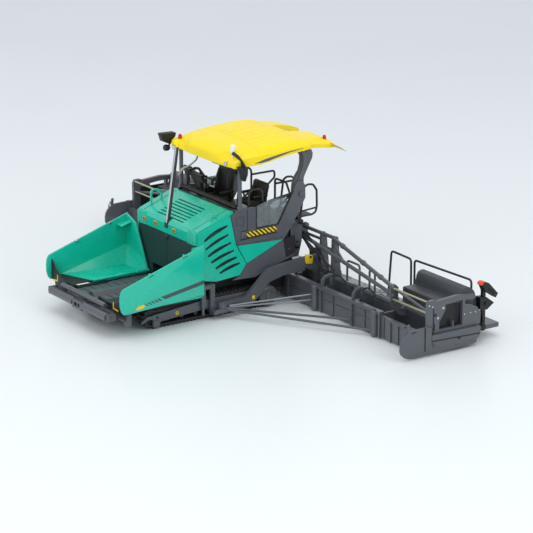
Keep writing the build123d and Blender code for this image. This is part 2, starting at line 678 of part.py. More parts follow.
# Front bumper: cross tube before the conveyor, and the beam with its corner blocks
def bumper():
    front = YOKE_REAR_X + 1
    pieces = [block(BUMPER_X, front, -21.0, 21.0, 6.6, 10.8)]
    pieces.append(cross_rod(49.9, 13.2, -18.6, 18.6, 1.1))
    for z in (6.5, YOKE_TOP_Z - 0.8):
        pieces.append(block(YOKE_REAR_X, PUSH_PIVOT_X + 0.8, -YOKE_HALF, YOKE_HALF, z, z + 0.8))
    pieces.append(rod((PUSH_PIVOT_X, 0, 6.5), (PUSH_PIVOT_X, 0, YOKE_TOP_Z), PIVOT_PIN_R, turned=True))
    for side in (-1, 1):
        y = side * 16.0
        pieces.append(block(front - 1, 49.9, y - 0.6, y + 0.6, 11.6, 12.4))
        pieces.append(block(front - 1.6, front, y - 0.6, y + 0.6, 10.0, 12.4))
        corner = side * 26.4
        pieces.append(rod((43.0, corner, 4.2), (43.0, corner, 10.6), 1.7))
        inner = side * 20.0
        pieces.append(block(BUMPER_X, 45.0, min(inner, corner), max(inner, corner), 6.6, 9.6))
    return joined(pieces)


parts["front_bumper"] = bumper()


# Push bar: the rocking carrier of the two rollers
def push_bar():
    carrier = block(48.7, 50.0, -25.4, 25.4, 8.2, 10.2)
    centre = block(48.2, 53.6, -4.0, 4.0, 7.4, 11.2)
    centre -= block(51.0, 54.6, -2.4, 2.4, 8.4, 10.2)
    pieces = [carrier, centre]
    for side in (-1, 1):
        y = side * (ROLLER_END_Y - 0.6)
        pieces.append(block(48.7, 53.2, y - 0.6, y + 0.6, 7.9, 11.1))
        inner = side * 3.8
        pieces.append(cross_rod(ROLLER_X, ROLLER_Z, min(inner, y), max(inner, y), ROLLER_AXLE_R, turned=True))
    bar = joined(pieces)
    return bar - rod((PUSH_PIVOT_X, 0, 6.0), (PUSH_PIVOT_X, 0, 12.0), PIVOT_PIN_R + RUNNING_GAP, turned=True)


parts["push_bar"] = push_bar()
roller = cross_rod(ROLLER_X, ROLLER_Z, 4.3, ROLLER_END_Y - 1.5, ROLLER_R, turned=True)
roller -= cross_rod(ROLLER_X, ROLLER_Z, 4.0, ROLLER_END_Y, ROLLER_AXLE_R + RUNNING_GAP, turned=True)
pair("push_roller", roller)


# Tow points: the upright guides beside the track and the levelling cylinders
def tow_guide():
    y0 = BODY_HALF + 0.6
    y1 = y0 + 1.4
    pieces = [block(-2.2, 0.2, y0, y1, 2.2, 16.0)]
    pieces.append(block(2.8, 4.8, y0, y1, 6.3, 16.0))
    pieces.append(block(-2.2, 4.8, y0, y1, 14.6, 16.0))
    pieces.append(block(-2.2, 4.8, 18.0, y1, 14.2, 16.0))
    pieces.append(block(TOW_X - 1.6, -2.0, y0, y1, 3.4, 6.6))
    pieces.append(cross_rod(TOW_X, TOW_Z, y0, ARM_Y0 + ARM_WALL + 0.2, TOW_PIN_R, turned=True))
    return joined(pieces)


parts["tow_guides"] = both_sides(tow_guide())


# Auger tunnel: plates in front of the augers, with posts, a ledge, bearing arms and end plates
def tunnel():
    low, high = TUNNEL_Z
    x1 = TUNNEL_X
    x0 = TUNNEL_X - TUNNEL_WALL
    pieces = [block(x0, x1, 14.0, TUNNEL_END_Y, low, high)]
    pieces.append(block(x0 - 0.6, x1 + 1.0, 18.4, TUNNEL_END_Y, high - 0.6, high + 0.8))
    for y in (21.0, 47.0, GUY_RIB_Y, TUNNEL_END_Y - 0.6):
        pieces.append(block(x0, x1 + 1.0, y - 0.6, y + 0.6, low, high))
    for y in TUNNEL_POST_Y:
        pieces.append(rod((x1 + 0.6, y, low + 0.5), (x1 + 0.6, y, high - 1.0), TUNNEL_POST_R))
    pieces.append(block(x0, CORE_REAR_X, 14.2, 17.2, 7.0, 10.6))
    for y in BEARING_Y:
        pieces.append(block(x0 - 6.4, x0 + 0.2, y - 0.5, y + 0.5, AUGER_Z + AUGER_R + 0.5, high - 0.1))
        pieces.append(block(AUGER_X - 1.9, AUGER_X + 1.9, y - 0.5, y + 0.5, AUGER_Z - 1.9, high - 1.0))
    pieces.append(block(x0, x1, TUNNEL_END_Y, WING_PLATE_Y, low, high - 0.8))
    pieces.append(block(x0, x1 + 1.2, TUNNEL_END_Y + 6.0, WING_PLATE_Y - 8.0, high - 1.6, high - 0.8))
    for y in (TUNNEL_END_Y + 7.0, WING_PLATE_Y - 0.5):
        pieces.append(block(x0, x1 + 0.6, y - 0.5, y + 0.5, low, high - 0.8))
    bore_r = (AUGER_SHAFT_R + RUNNING_GAP) / math.cos(math.pi / 14)
    bore = rod((AUGER_X, 14.0, AUGER_Z), (AUGER_X, TUNNEL_END_Y, AUGER_Z), bore_r)
    return joined(pieces) - bore


parts["auger_tunnels"] = both_sides(tunnel())


# Auger drive: the case between the two augers, hung from the rear of the tractor
def auger_drive():
    case = block(AUGER_X - 2.2, CORE_REAR_X, -2.4, 2.4, 3.2, 10.6)
    beam = block(CORE_REAR_X - 1.8, CORE_REAR_X, -13.6, 13.6, 7.6, 10.8)
    return joined([case, beam])


parts["auger_drive"] = auger_drive()


def flight(y0, y1):
    """A helical strip round the shaft, from y0 to y1, one facet to each flat of the shaft."""
    rims = []
    for i in range(int((y1 - y0) / AUGER_PITCH * FLIGHT_STEPS) + 1):
        turn = 2 * math.pi * i / FLIGHT_STEPS
        y = y0 + AUGER_PITCH * i / FLIGHT_STEPS
        rim = []
        for radius, side in ((AUGER_SHAFT_R, -1), (AUGER_R, -1), (AUGER_R, 1), (AUGER_SHAFT_R, 1)):
            rim.append(Vector(AUGER_X + radius * math.cos(turn), y + side * FLIGHT_WALL / 2,
                              AUGER_Z + radius * math.sin(turn)))
        rims.append(rim)
    return faceted(rims)


def auger():
    """A shaft with one helical flight a bay; the flights break off at the bearings."""
    stops = (AUGER_INNER_Y - FLIGHT_GAP / 2,) + BEARING_Y
    made = [rod((AUGER_X, AUGER_INNER_Y, AUGER_Z), (AUGER_X, AUGER_END_Y, AUGER_Z), AUGER_SHAFT_R)]
    for y0, y1 in zip(stops, stops[1:]):
        made.append(flight(y0 + FLIGHT_GAP, y1 - FLIGHT_GAP))
        made.append(cross_rod(AUGER_X, AUGER_Z, y1 - FLIGHT_GAP, min(y1 + FLIGHT_GAP, AUGER_END_Y),
                              AUGER_SHAFT_R, turned=True))
    return joined(made)


pair("auger", auger())


# Guy rods: from the tow guides back to the tunnel posts
def guy_rods():
    y0 = ARM_Y0 + ARM_WALL + 0.4
    made = [block(-2.2, 0.2, BODY_HALF + 2.1, y0 + 1.6, 2.4, 4.6)]
    made.append(block(-8.4, -0.2, y0, y0 + 1.6, 2.4, 4.8))
    inner, outer = TUNNEL_POST_Y
    for z0, y1, z1 in ((4.2, inner, 6.6), (3.4, inner, 4.0), (3.8, GUY_RIB_Y, 2.6), (3.0, outer, 2.0)):
        start = Vector(-7.0, y0 + 0.8, z0)
        middle = Vector(TUNNEL_X + 0.6, y1, z1)
        seat_gap = (start - middle).normalized() * (TUNNEL_POST_R + 0.15)
        made.append(rod(start, middle + seat_gap, 0.45))
    return joined(made)


parts["guy_rods"] = both_sides(guy_rods())


# Tow arms: cranked plates from the tow point back to the screed
def tow_arm():
    outline = ((-3.0, 3.0), (-3.0, 7.4), (-17.5, 8.0), (-29.1, 18.6), (-38.0, 20.0), (-56.4, 21.6),
               (SCREED_FRONT_X, 15.4), (SCREED_FRONT_X, 8.4), (-55.0, 8.4), (-54.0, 15.0), (-38.0, 14.6),
               (-30.4, 12.8), (-19.8, 3.0))
    arm = side_plate(outline, ARM_Y0, ARM_Y0 + ARM_WALL)
    bore = cross_rod(TOW_X, TOW_Z, ARM_Y0 - 1, ARM_Y0 + ARM_WALL + 1, TOW_PIN_R + RUNNING_GAP, turned=True)
    return arm - bore


parts["tow_arms"] = both_sides(tow_arm())


# Screed: heated boxes with sole plates, bolted end to end across the paving width
def screed_box(y0, y1):
    low = SOLE_Z + SOLE_WALL
    outline = ((SCREED_FRONT_X, low), (SCREED_FRONT_X, SCREED_LIP_Z), (-58.4, SCREED_TOP_Z), (-59.8, 13.0),
               (-67.0, 8.4), (SCREED_REAR_X, 6.0), (SCREED_REAR_X, low))
    return side_plate(outline, y0, y1)


def sole_plate(y0, y1):
    outline = ((SCREED_FRONT_X + 0.6, SOLE_Z + 0.8), (SCREED_FRONT_X + 0.6, SOLE_Z + SOLE_WALL),
               (SCREED_REAR_X, SOLE_Z + SOLE_WALL), (SCREED_REAR_X, SOLE_Z), (SCREED_FRONT_X - 0.2, SOLE_Z))
    return side_plate(outline, y0, y1)


inner_y, middle_y, outer_y = SECTION_Y
gap = SECTION_GAP / 2
parts["screed_base"] = screed_box(-BASE_HALF + gap, BASE_HALF - gap)


def handle(x, y0, y1, top_z):
    """A lifting loop on top of a section."""
    foot_z = 10.0
    return bent_rod(((x, y0, foot_z), (x, y0, top_z), (x, y1, top_z), (x, y1, foot_z)), RAIL_R, RAIL_BEND)


inner_section = screed_box(inner_y + gap, middle_y - gap) + handle(-62.3, 44.5, 54.0, 21.4)
middle_section = screed_box(middle_y + gap, outer_y - gap) + handle(-60.5, 64.0, 68.0, 22.4)
parts["screed_sections_inner"] = both_sides(inner_section)
parts["screed_sections_middle"] = both_sides(middle_section)


def outer_section():
    low = SOLE_Z + SOLE_WALL
    body = ((SCREED_FRONT_X, low), (SCREED_FRONT_X, SCREED_LIP_Z), (-58.4, SCREED_TOP_Z),
            (-61.0, SCREED_TOP_Z), (-61.0, 19.0), (-66.0, 20.6), (-68.6, 24.4), (-71.4, 25.8),
            (-74.4, 25.2), (-76.6, 22.6),
            (SCREED_REAR_X, 18.0), (SCREED_REAR_X, low))
    return side_plate(body, outer_y + gap, OUTER_END_Y)


parts["screed_sections_outer"] = both_sides(outer_section())
ends = SECTION_Y + (OUTER_END_Y + gap,)
soles = [sole_plate(-BASE_HALF + gap, BASE_HALF - gap)]
for y0, y1 in zip(ends, ends[1:]):
    soles.append(sole_plate(y0 + gap, y1 - gap))
    soles.append(mirrored(soles[-1]))
parts["sole_plates"] = apart(soles)


# Truss that stiffens the wide screed: two towers, cross bars between them, long braces
BRACE_R = 0.9
BRACKET_Y = 93.6
TOWER_IN_Y = 28.8
TOWER_OUT_Y = 38.0
TOWER_WALL = 1.6
HANGER_Y = 13.0
FRAME_Y = END_GATE_Y - 3.2


def half_truss():
    """One side: the tower's two plates and rungs, the long braces and the bracket at their end."""
    foot_z = 9.0
    end_y = BRACKET_Y + 0.4
    tower = ((-57.9, foot_z), (-58.6, TOWER_TOP_Z - 1), (TOWER_X, TOWER_TOP_Z + 0.6),
             (TOWER_X - 1.4, TOWER_TOP_Z - 1), (-63.4, foot_z))
    half = TOWER_WALL / 2
    made = [side_plate(tower, y - half, y + half) for y in (TOWER_IN_Y, TOWER_OUT_Y)]
    y0 = TOWER_IN_Y - half
    y1 = TOWER_OUT_Y + half
    made.append(block(-63.2, -58.2, y0, y1, foot_z, SCREED_TOP_Z + 1.4))
    for x, z in ((-58.8, 25.0), (TOWER_X, TOWER_TOP_Z - 0.4)):
        made.append(cross_rod(x, z, y0, y1, BRACE_R))
    made.append(rod((-59.4, TOWER_OUT_Y, TOWER_TOP_Z - 0.6), (-50.2, end_y, 24.2), BRACE_R))
    made.append(rod((-57.2, HANGER_Y, 28.0), (-50.8, end_y, 20.2), BRACE_R))
    made.append(rod((-52.2, end_y, 22.6), (-52.2, FRAME_Y - 0.15, 17.8), 0.7))
    made.append(rod((-59.0, TOWER_OUT_Y, 28.4), (-55.0, 51.0, 24.2), 0.6))
    made.append(rod((-58.4, HANGER_Y, 26.4), (-58.4, TOWER_OUT_Y + 1.0, 16.2), 0.6))
    made.append(block(-59.4, -57.8, TOWER_OUT_Y - 0.5, TOWER_OUT_Y + 3.0, foot_z, 17.4))
    hanger = ((-56.4, 25.4), (-56.4, 29.0), (-59.6, 32.0), (-61.6, 31.4), (-61.6, 26.0))
    made.append(side_plate(hanger, HANGER_Y - 1.0, HANGER_Y + 1.4))
    shield = ((20.6, foot_z), (20.6, 22.4), (y0, 24.0), (y0, foot_z))
    made.append(front_plate(shield, -59.0, -58.0))
    bracket = ((SCREED_FRONT_X, 9.4), (SCREED_FRONT_X, 13.0), (-54.6, 15.4), (-53.2, 18.4), (-53.2, 23.4),
               (-51.4, 25.0), (-49.2, 25.0), (-49.0, 17.6), (-51.2, 13.6), (-54.4, 10.2))
    made.append(side_plate(bracket, BRACKET_Y, BRACKET_Y + 1.6))
    return made


truss = half_truss()
truss += [mirrored(piece) for piece in truss]
truss.append(cross_rod(TOWER_X, TOWER_TOP_Z - 0.4, -TOWER_IN_Y, TOWER_IN_Y, BRACE_R))
truss.append(cross_rod(TOWER_X - 0.6, TOWER_TOP_Z - 3.6, -TOWER_IN_Y, TOWER_IN_Y, 0.7))
parts["screed_truss"] = joined(truss) - screed_box(-outer_y, outer_y)


# End gates, end frames and the spindles that carry them
def end_gate():
    """The gate plate with its rounded nose, the upright guide and the beam it slides on."""
    outline = ((-33.8, 4.6), (-33.8, 7.6), (-34.6, 9.6), (-36.4, 11.6), (-38.8, 13.2), (-46.8, 13.5),
               (-46.8, 8.8), (-76.8, 8.8), (-76.8, 4.6), (-73.4, 1.3), (-42.0, 0.4), (-38.0, 0.8),
               (-35.2, 2.4))
    gate = side_plate(outline, END_GATE_Y - 1.2, END_GATE_Y)
    gate -= block(-42.3, -39.8, END_GATE_Y - 2, END_GATE_Y + 1, 11.8, 12.5)
    guide = block(-50.2, -46.6, END_GATE_Y - 1.0, END_GATE_Y + 0.6, 2.6, 13.6)
    rail = ((-50.2, 6.8), (-50.2, 9.4), (-76.9, 9.2), (-76.9, 5.9))
    return joined([gate, guide, side_plate(rail, END_GATE_Y - 1.0, END_GATE_Y + 0.4)])


parts["end_gates"] = both_sides(end_gate())


def end_frame():
    """The frame behind the gate: column, arched beam, bolted corner plate and end panel."""
    y0 = FRAME_Y
    y1 = FRAME_Y + 1.8
    column = ((-49.4, 4.0), (-49.2, 22.6), (-50.0, 24.2), (-52.4, 24.4), (-54.0, 24.0), (-52.4, 20.6),
              (-52.4, 4.0))
    beam = ((-51.6, 23.4), (-65.1, 24.4), (-74.0, 23.6), (-75.6, 22.0), (-73.6, 21.2), (-68.0, 21.9),
            (-62.2, 21.7), (-58.0, 21.2), (-51.8, 20.4))
    corner = ((-51.4, 22.8), (-58.6, 21.6), (-58.8, 19.2), (-55.8, 14.6), (-52.0, 13.6))
    panel = ((-68.0, 9.6), (-77.9, 9.6), (-78.1, 14.6), (-75.9, 17.5), (-72.0, 19.4), (-69.4, 19.8),
             (-69.4, 22.4), (-68.0, 22.4))
    made = [side_plate(outline, y0, y1) for outline in (column, beam, corner, panel)]
    made.append(block(-55.4, -53.0, y0, y1, 6.4, 15.2))
    made.append(block(-76.6, -49.6, y0, y1, 6.0, 10.6))
    made.append(block(-63.2, -62.6, y0 + 0.4, y1, 10.4, 13.4))
    return joined(made)


parts["end_frames"] = both_sides(end_frame())

spindles = []
for z in (23.6, 18.6):
    spindles.append(cross_rod(-50.0, z, BRACKET_Y + 1.7, FRAME_Y - 0.1, 0.4))
parts["gate_spindles"] = both_sides(apart(spindles))


# Hand rails along the rear of the screed
def screed_rails():
    x = SCREED_REAR_X + 2.4
    inside = outer_y + 1.0
    inner = ((x, 57.8, 5.0), (x, 60.0, 27.5), (x, 74.6, 27.2), (x, 74.8, 9.8), (x, inside, 9.8))
    x = SCREED_REAR_X + 1.8
    outer = ((x, inside, 8.4), (x, 76.4, 8.4), (x, 76.4, 27.1), (x, 117.0, 28.2), (x, 117.0, 22.0))
    made = []
    for points in (inner, outer):
        made.append(bent_rod(points, RAIL_R, RAIL_BEND) - middle_section - outer_section())
    return both_sides(apart(made))


parts["screed_rails"] = screed_rails()

# Walkway behind the outer section
WALK_Z = (4.2, 6.2)
walkway = block(REAR_X, SCREED_REAR_X, outer_y + gap, 117.0, *WALK_Z)
parts["screed_walkway"] = both_sides(walkway)


def control_stand():
    """The post at the end of the walkway, with its junction box and the tilted panel on top."""
    x = SCREED_REAR_X
    y = OUTER_END_Y
    post = block(x - 3.4, x - 1.8, y, y + 1.6, 5.4, 24.0)
    foot = block(x - 3.8, x - 0.2, y - 2.4, y + 1.8, WALK_Z[1], WALK_Z[1] + 1.4)
    box = side_plate(((x - 0.2, 20.9), (x - 3.6, 20.6), (x - 7.8, 17.4), (x - 4.0, 14.8), (x - 0.2, 15.4)),
                     y - 1.4, y + 2.0)
    panel = ((x - 1.0, 26.4), (x - 2.0, 27.6), (x - 4.6, 26.8), (x - 9.6, 21.4), (x - 8.4, 19.6),
             (x - 5.2, 21.8), (x - 2.6, 23.0))
    return joined([post, foot, box, side_plate(panel, y - 0.8, y + 2.4)])


parts["control_stands"] = both_sides(control_stand())

shift = Pos(-(FRONT_X + REAR_X) / 2, 0, 0)
for name, shape in parts.items():
    export_step(shift * shape, "parts/" + name + ".step")
print(len(parts), "sub-parts")
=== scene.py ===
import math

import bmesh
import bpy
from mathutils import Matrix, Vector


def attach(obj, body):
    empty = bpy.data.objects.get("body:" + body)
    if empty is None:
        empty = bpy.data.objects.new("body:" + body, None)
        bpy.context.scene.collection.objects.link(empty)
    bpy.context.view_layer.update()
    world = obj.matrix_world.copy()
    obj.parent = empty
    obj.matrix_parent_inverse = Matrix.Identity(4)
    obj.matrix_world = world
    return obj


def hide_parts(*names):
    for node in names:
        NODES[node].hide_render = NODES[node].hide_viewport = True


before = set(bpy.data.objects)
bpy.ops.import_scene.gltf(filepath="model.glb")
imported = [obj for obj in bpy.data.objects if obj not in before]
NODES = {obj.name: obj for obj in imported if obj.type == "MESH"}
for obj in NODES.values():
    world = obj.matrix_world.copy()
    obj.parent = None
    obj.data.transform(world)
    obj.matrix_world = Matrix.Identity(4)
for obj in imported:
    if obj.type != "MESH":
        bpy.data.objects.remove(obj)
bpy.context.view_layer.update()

# %% [markdown]
# # Asphalt paver, a 1:50 die-cast model
# The CAD part is the frame: every piece below is added to it, in metres, in the same place.
# Sizes are written in millimetres of the model and turned into metres by one function.
# The drawing's zero lies under the middle of the tracks, 19 mm ahead of the frame's zero.

MM = 0.001
DRAWING_SHIFT_X = 19.0

# %% [markdown]
# ## Materials
# Each material is a small node tree around one Principled shader. A noise of a real size breaks up
# the roughness, and a finer one lifts the surface. The Bevel node rounds off what the light sees of
# the edges, because cast and moulded parts have no knife edges. An image could do the same, but
# noise needs no unwrapping and holds up at any distance.

# %% shader helpers


def linear(hex_colour):
    """A colour as read off a screen, turned into the linear values that shaders work with."""
    channels = [int(hex_colour[i:i + 2], 16) / 255 for i in (1, 3, 5)]
    return tuple(c / 12.92 if c <= 0.04045 else ((c + 0.055) / 1.055) ** 2.4 for c in channels) + (1.0,)


def add_node(tree, kind, settings=None, links=None):
    """One node with its settings and what is linked into it, by socket name or number."""
    node = tree.nodes.new("ShaderNode" + kind)
    for name, value in (settings or {}).items():
        if isinstance(name, int) or name in node.inputs:
            node.inputs[name].default_value = value
        else:
            setattr(node, name, value)
    for name, socket in (links or {}).items():
        tree.links.new(socket, node.inputs[name])
    return node


def new_tree(name):
    """A new material with an empty node tree."""
    material = bpy.data.materials.new(name)
    material.use_nodes = True
    material.node_tree.nodes.clear()
    return material, material.node_tree


def grain(tree, size_mm, detail=3.0):
    """Noise whose blotches are about size_mm across on the model."""
    coordinate = add_node(tree, "TexCoord")
    return add_node(tree, "TexNoise", {"Scale": 1 / (size_mm * MM), "Detail": detail},
                    {"Vector": coordinate.outputs["Object"]}).outputs["Fac"]


def spread(tree, factor, low, high):
    """The noise stretched over the span from low to high."""
    return add_node(tree, "MapRange", {"From Min": 0.3, "From Max": 0.7, "To Min": low, "To Max": high},
                    {"Value": factor}).outputs["Result"]


def finish_shader(tree, shader):
    """Sends the shader to the material's surface."""
    output = add_node(tree, "OutputMaterial")
    tree.links.new(shader.outputs[0], output.inputs["Surface"])


def surface(name, colour, rough, metallic=0.0, edge_mm=0.18, blotch_mm=6.0, grain_mm=0.35, relief=0.03,
            coat=0.0, tint=0.06, specular=0.5):
    """Paint, plastic or metal: one colour with a little drift, and edges that catch the light.

    The drift in colour and gloss is drawn 6 mm across, as a hand or a spray leaves it. The grain of
    real paint is under 0.05 mm and wouldn't show, so it is drawn 0.35 mm across.
    """
    material, tree = new_tree(name)
    blotch = grain(tree, blotch_mm)
    base = linear(colour)
    darker = tuple(c * (1 - tint) for c in base[:3]) + (1.0,)
    mix = add_node(tree, "Mix", {"data_type": "RGBA", 6: darker, 7: base},
                   {0: spread(tree, blotch, 0.0, 1.0)})
    edge = add_node(tree, "Bevel", {"Radius": edge_mm * MM, "samples": 4})
    bump = add_node(tree, "Bump", {"Strength": relief, "Distance": 0.1 * MM},
                    {"Height": grain(tree, grain_mm), "Normal": edge.outputs["Normal"]})
    shader = add_node(tree, "BsdfPrincipled",
                      {"Metallic": metallic, "Coat Weight": coat, "Coat Roughness": 0.08,
                       "Specular IOR Level": specular},
                      {"Base Color": mix.outputs[2], "Normal": bump.outputs["Normal"],
                       "Roughness": spread(tree, blotch, rough - 0.04, rough + 0.04)})
    finish_shader(tree, shader)
    return material


print("a screen grey of #808080 is", round(linear("#808080")[0], 3), "in linear light")

# %% [markdown]
# ### Paints, plastics and metals
# The model is cast in zinc and sprayed, with moulded plastic for the canopy, the tracks and the
# black fittings, and plated or bare wire for the rods. Each finish has its own gloss: paint has a
# clear coat, plastic has none, and metal mirrors the pale room.

# %% paints, plastics and metals
# Sprayed gloss paint: a clear skin over the colour gives small sharp highlights.
GREEN = surface("green_paint_on_zinc", "#04C0A3", 0.28, coat=0.4)
# Sprayed satin paint: the highlights are wider and the colour stays even.
GREY = surface("dark_grey_paint_on_zinc", "#55585F", 0.36, coat=0.2)
# A heavier, darker coat on the outer rolls, which rounds every edge.
ROLL_GREY = surface("thick_grey_paint_on_zinc", "#3A3D43", 0.42, coat=0.1)
# Matt black paint: frames and rails read as outlines against the grey.
BLACK_PAINT = surface("black_paint_on_zinc", "#24262A", 0.40)
# The deep wall behind the hopper: almost black, with a green tint painted in for the light thrown back
# from the green walls around it.
INNER_GREY = surface("near_black_paint_with_painted_green_bounce", "#1F3336", 0.45)
# Plastic coloured right through: a soft sheen and no drift in colour.
YELLOW = surface("yellow_moulded_plastic", "#FFE208", 0.4, coat=0.08, tint=0.03, specular=0.35)
# Hard black plastic with the grain of its mould: broad dull highlights.
BLACK = surface("black_moulded_plastic", "#111214", 0.5, relief=0.06)
# Soft plastic of the tracks: greyer and duller than the hard mouldings.
TRACK_BLACK = surface("black_soft_plastic", "#232428", 0.62, relief=0.1, edge_mm=0.08)
# Plated metal: a clear mirror of the room.
CHROME = surface("chromed_steel", "#C9CCD0", 0.16, metallic=1.0, edge_mm=0.05, relief=0.01)
# Nickel is warmer than chrome and blurs what it mirrors.
PALE_STEEL = surface("nickel_wire", "#B9B8A6", 0.3, metallic=0.8, edge_mm=0.05, relief=0.01)
# Drawn wire without a coat: a cool grey streak of light along its length.
BARE_STEEL = surface("bare_steel_wire", "#8F949A", 0.32, metallic=0.85, edge_mm=0.05, relief=0.01)
# Turned pale brass: the same streak in a warm tone.
BRASS = surface("brass_wire", "#C2BC9A", 0.3, metallic=0.85, edge_mm=0.05, relief=0.01)
# Milky beacon plastic: bright all round, with faint shading.
WHITE = surface("white_moulded_plastic", "#F2F3F2", 0.35, tint=0.02)
# Polished lamp plastic: a deep red with a sharp highlight.
RED = surface("red_clear_plastic", "#C21A1A", 0.2, tint=0.05)
# The grip's plastic: a warm spot of colour with a soft sheen.
ORANGE = surface("orange_plastic", "#E8542A", 0.35, tint=0.04)
# The latches' plastic: a dull gold against the green hood.
AMBER = surface("amber_plastic", "#C9A81E", 0.35, tint=0.08)
# Green darkened as painted shade for grooves and slots, with no clear highlight.
DARK_GREEN = surface("green_paint_in_shade", "#0A6F5E", 0.45)
# Printed ink is matt and dead flat, so only its colour shows.
SIGN_YELLOW = surface("yellow_printed_mark", "#E8C81E", 0.4, tint=0.03)
PALE_PRINT = surface("grey_printed_mark", "#3E4E52", 0.45, tint=0.03)
print("paints, plastics and metals:", len(bpy.data.materials))

# %% [markdown]
# ### Warning strip and windows
# The slanted bars are printed on the body, so they are drawn in the material: the place along the
# strip, sheared by the height, is cut into equal bars. The window is one thin clear sheet. A real
# refracting glass would need two exact faces, so clear and shiny shaders are mixed instead.

# %% printed strip and window plastic
BAR_PITCH = 2.25
BAR_LEAN = 1.1


def hazard_tape():
    """Slanted black and yellow bars, printed one pitch apart along the strip."""
    material, tree = new_tree("hazard_stripes_printed")
    place = add_node(tree, "SeparateXYZ", links={"Vector": add_node(tree, "TexCoord").outputs["Object"]})
    lean = add_node(tree, "Math", {"operation": "MULTIPLY", 1: BAR_LEAN}, {0: place.outputs["Z"]})
    run = add_node(tree, "Math", {"operation": "SUBTRACT"}, {0: place.outputs["X"], 1: lean.outputs[0]})
    count = add_node(tree, "Math", {"operation": "DIVIDE", 1: BAR_PITCH * MM}, {0: run.outputs[0]})
    part = add_node(tree, "Math", {"operation": "FRACT"}, {0: count.outputs[0]})
    bar = add_node(tree, "Math", {"operation": "GREATER_THAN", 1: 0.5}, {0: part.outputs[0]})
    mix = add_node(tree, "Mix", {"data_type": "RGBA", 6: linear("#16171A"), 7: linear("#F2D21C")},
                   {0: bar.outputs[0]})
    shader = add_node(tree, "BsdfPrincipled", {"Roughness": 0.35}, {"Base Color": mix.outputs[2]})
    finish_shader(tree, shader)
    return material


def clear_plastic():
    """Thin tinted window plastic: it lets light through and shows a faint reflection."""
    material, tree = new_tree("clear_window_plastic")
    shader = add_node(tree, "BsdfPrincipled", {"Base Color": linear("#8D969A"), "Roughness": 0.2})
    clear = add_node(tree, "BsdfTransparent", {"Color": linear("#DDE3E4")})
    share = spread(tree, grain(tree, 9.0), 0.5, 0.56)
    mix = add_node(tree, "MixShader", links={0: share, 1: shader.outputs[0], 2: clear.outputs[0]})
    finish_shader(tree, mix)
    return material


HAZARD = hazard_tape()
WINDOW = clear_plastic()
print("materials:", len(bpy.data.materials))

# %% [markdown]
# ## CAD pieces that stay
# Most castings are shown as they are, with a finish for each node. Their faces are flat and their
# edges are true, so the Bevel node in each finish is all that they need.

# %% finishes for the CAD nodes
FINISHES = {
    "track_left": TRACK_BLACK, "track_right": TRACK_BLACK, "track_frames": GREY,
    "chassis_frame": BLACK_PAINT, "conveyor_floor": GREY, "body_core": BLACK_PAINT,
    "hopper_rear_wall": INNER_GREY, "hood": GREEN, "hood_eyes": GREEN, "side_panels": GREEN,
    "side_bodies": GREY, "side_wedges": GREEN, "hazard_strips": HAZARD, "side_windows": WINDOW,
    "operator_platform": GREY, "windscreen_roll": BLACK, "operator_seat_right": BLACK,
    "operator_seat_left": BLACK, "control_console": BLACK, "platform_rails": BLACK_PAINT,
    "rear_steps": BLACK_PAINT, "exhaust_stack": CHROME, "canopy_roof": YELLOW,
    "canopy_front_posts": BLACK_PAINT, "canopy_rear_posts": GREY, "canopy_lamps": BLACK,
    "beacon": WHITE, "marker_lamps": RED, "mirror_arm": CHROME, "hopper_wing_left": GREEN,
    "hopper_wing_right": GREEN, "hopper_apron_left": BLACK, "hopper_apron_right": BLACK,
    "front_bumper": GREY, "push_bar": GREY, "push_roller_left": GREY, "push_roller_right": GREY,
    "tow_guides": GREY, "auger_tunnels": GREY, "auger_drive": GREY, "auger_left": BLACK_PAINT,
    "auger_right": BLACK_PAINT, "guy_rods": GREY, "tow_arms": GREY, "screed_base": GREY,
    "screed_sections_inner": GREY, "screed_sections_middle": GREY, "screed_sections_outer": GREY,
    "sole_plates": BLACK_PAINT, "screed_truss": GREY, "end_gates": GREY, "end_frames": GREY,
    "gate_spindles": BRASS, "screed_rails": BLACK_PAINT, "screed_walkway": GREY,
    "control_stands": BLACK,
}
for name, node in NODES.items():
    node.data.materials.clear()
    node.data.materials.append(FINISHES[name])
print("finished nodes:", len(FINISHES))

# %% [markdown]
# ## Shapes
# A shape is a bmesh in millimetres of the drawing. Small functions add plates, boxes, turned parts
# and bent tubes to it, with real rounded edges. Modifiers could do the same, but a mesh that is
# built in one go has nothing left to apply and can be mirrored and joined freely.

# %% plates and boxes
EDGE = 0.14
SHARP_DEG = 25.0


def new_shape():
    """An empty shape, to which the functions below add."""
    return bmesh.new()


def soften(shape, edges, width, segments=2):
    """Rounds off the given edges."""
    if width > 0:
        bmesh.ops.bevel(shape, geom=edges, offset=width, offset_type="OFFSET", segments=segments,
                        profile=0.5, affect="EDGES", clamp_overlap=True)


def add_prism(shape, corners, shift, edge=EDGE):
    """A flat outline carried along a shift, with its edges rounded."""
    low = [shape.verts.new(corner) for corner in corners]
    high = [shape.verts.new(Vector(corner) + Vector(shift)) for corner in corners]
    count = len(low)
    faces = [shape.faces.new(low), shape.faces.new(list(reversed(high)))]
    for k in range(count):
        step = (k + 1) % count
        faces.append(shape.faces.new((low[k], high[k], high[step], low[step])))
    bmesh.ops.recalc_face_normals(shape, faces=faces)
    edges = list({edge_item for face in faces for edge_item in face.edges})
    sharp = [edge_item for edge_item in edges if edge_item.calc_face_angle(0.0) > math.radians(SHARP_DEG)]
    soften(shape, sharp, edge)


def add_plate(shape, outline, y0, y1, edge=EDGE):
    """An outline in X and Z, as thick as the span from y0 to y1."""
    add_prism(shape, [(x, y0, z) for x, z in outline], (0, y1 - y0, 0), edge)


def add_front_plate(shape, outline, x0, x1, edge=EDGE):
    """An outline in Y and Z, as thick as the span from x0 to x1."""
    add_prism(shape, [(x0, y, z) for y, z in outline], (x1 - x0, 0, 0), edge)


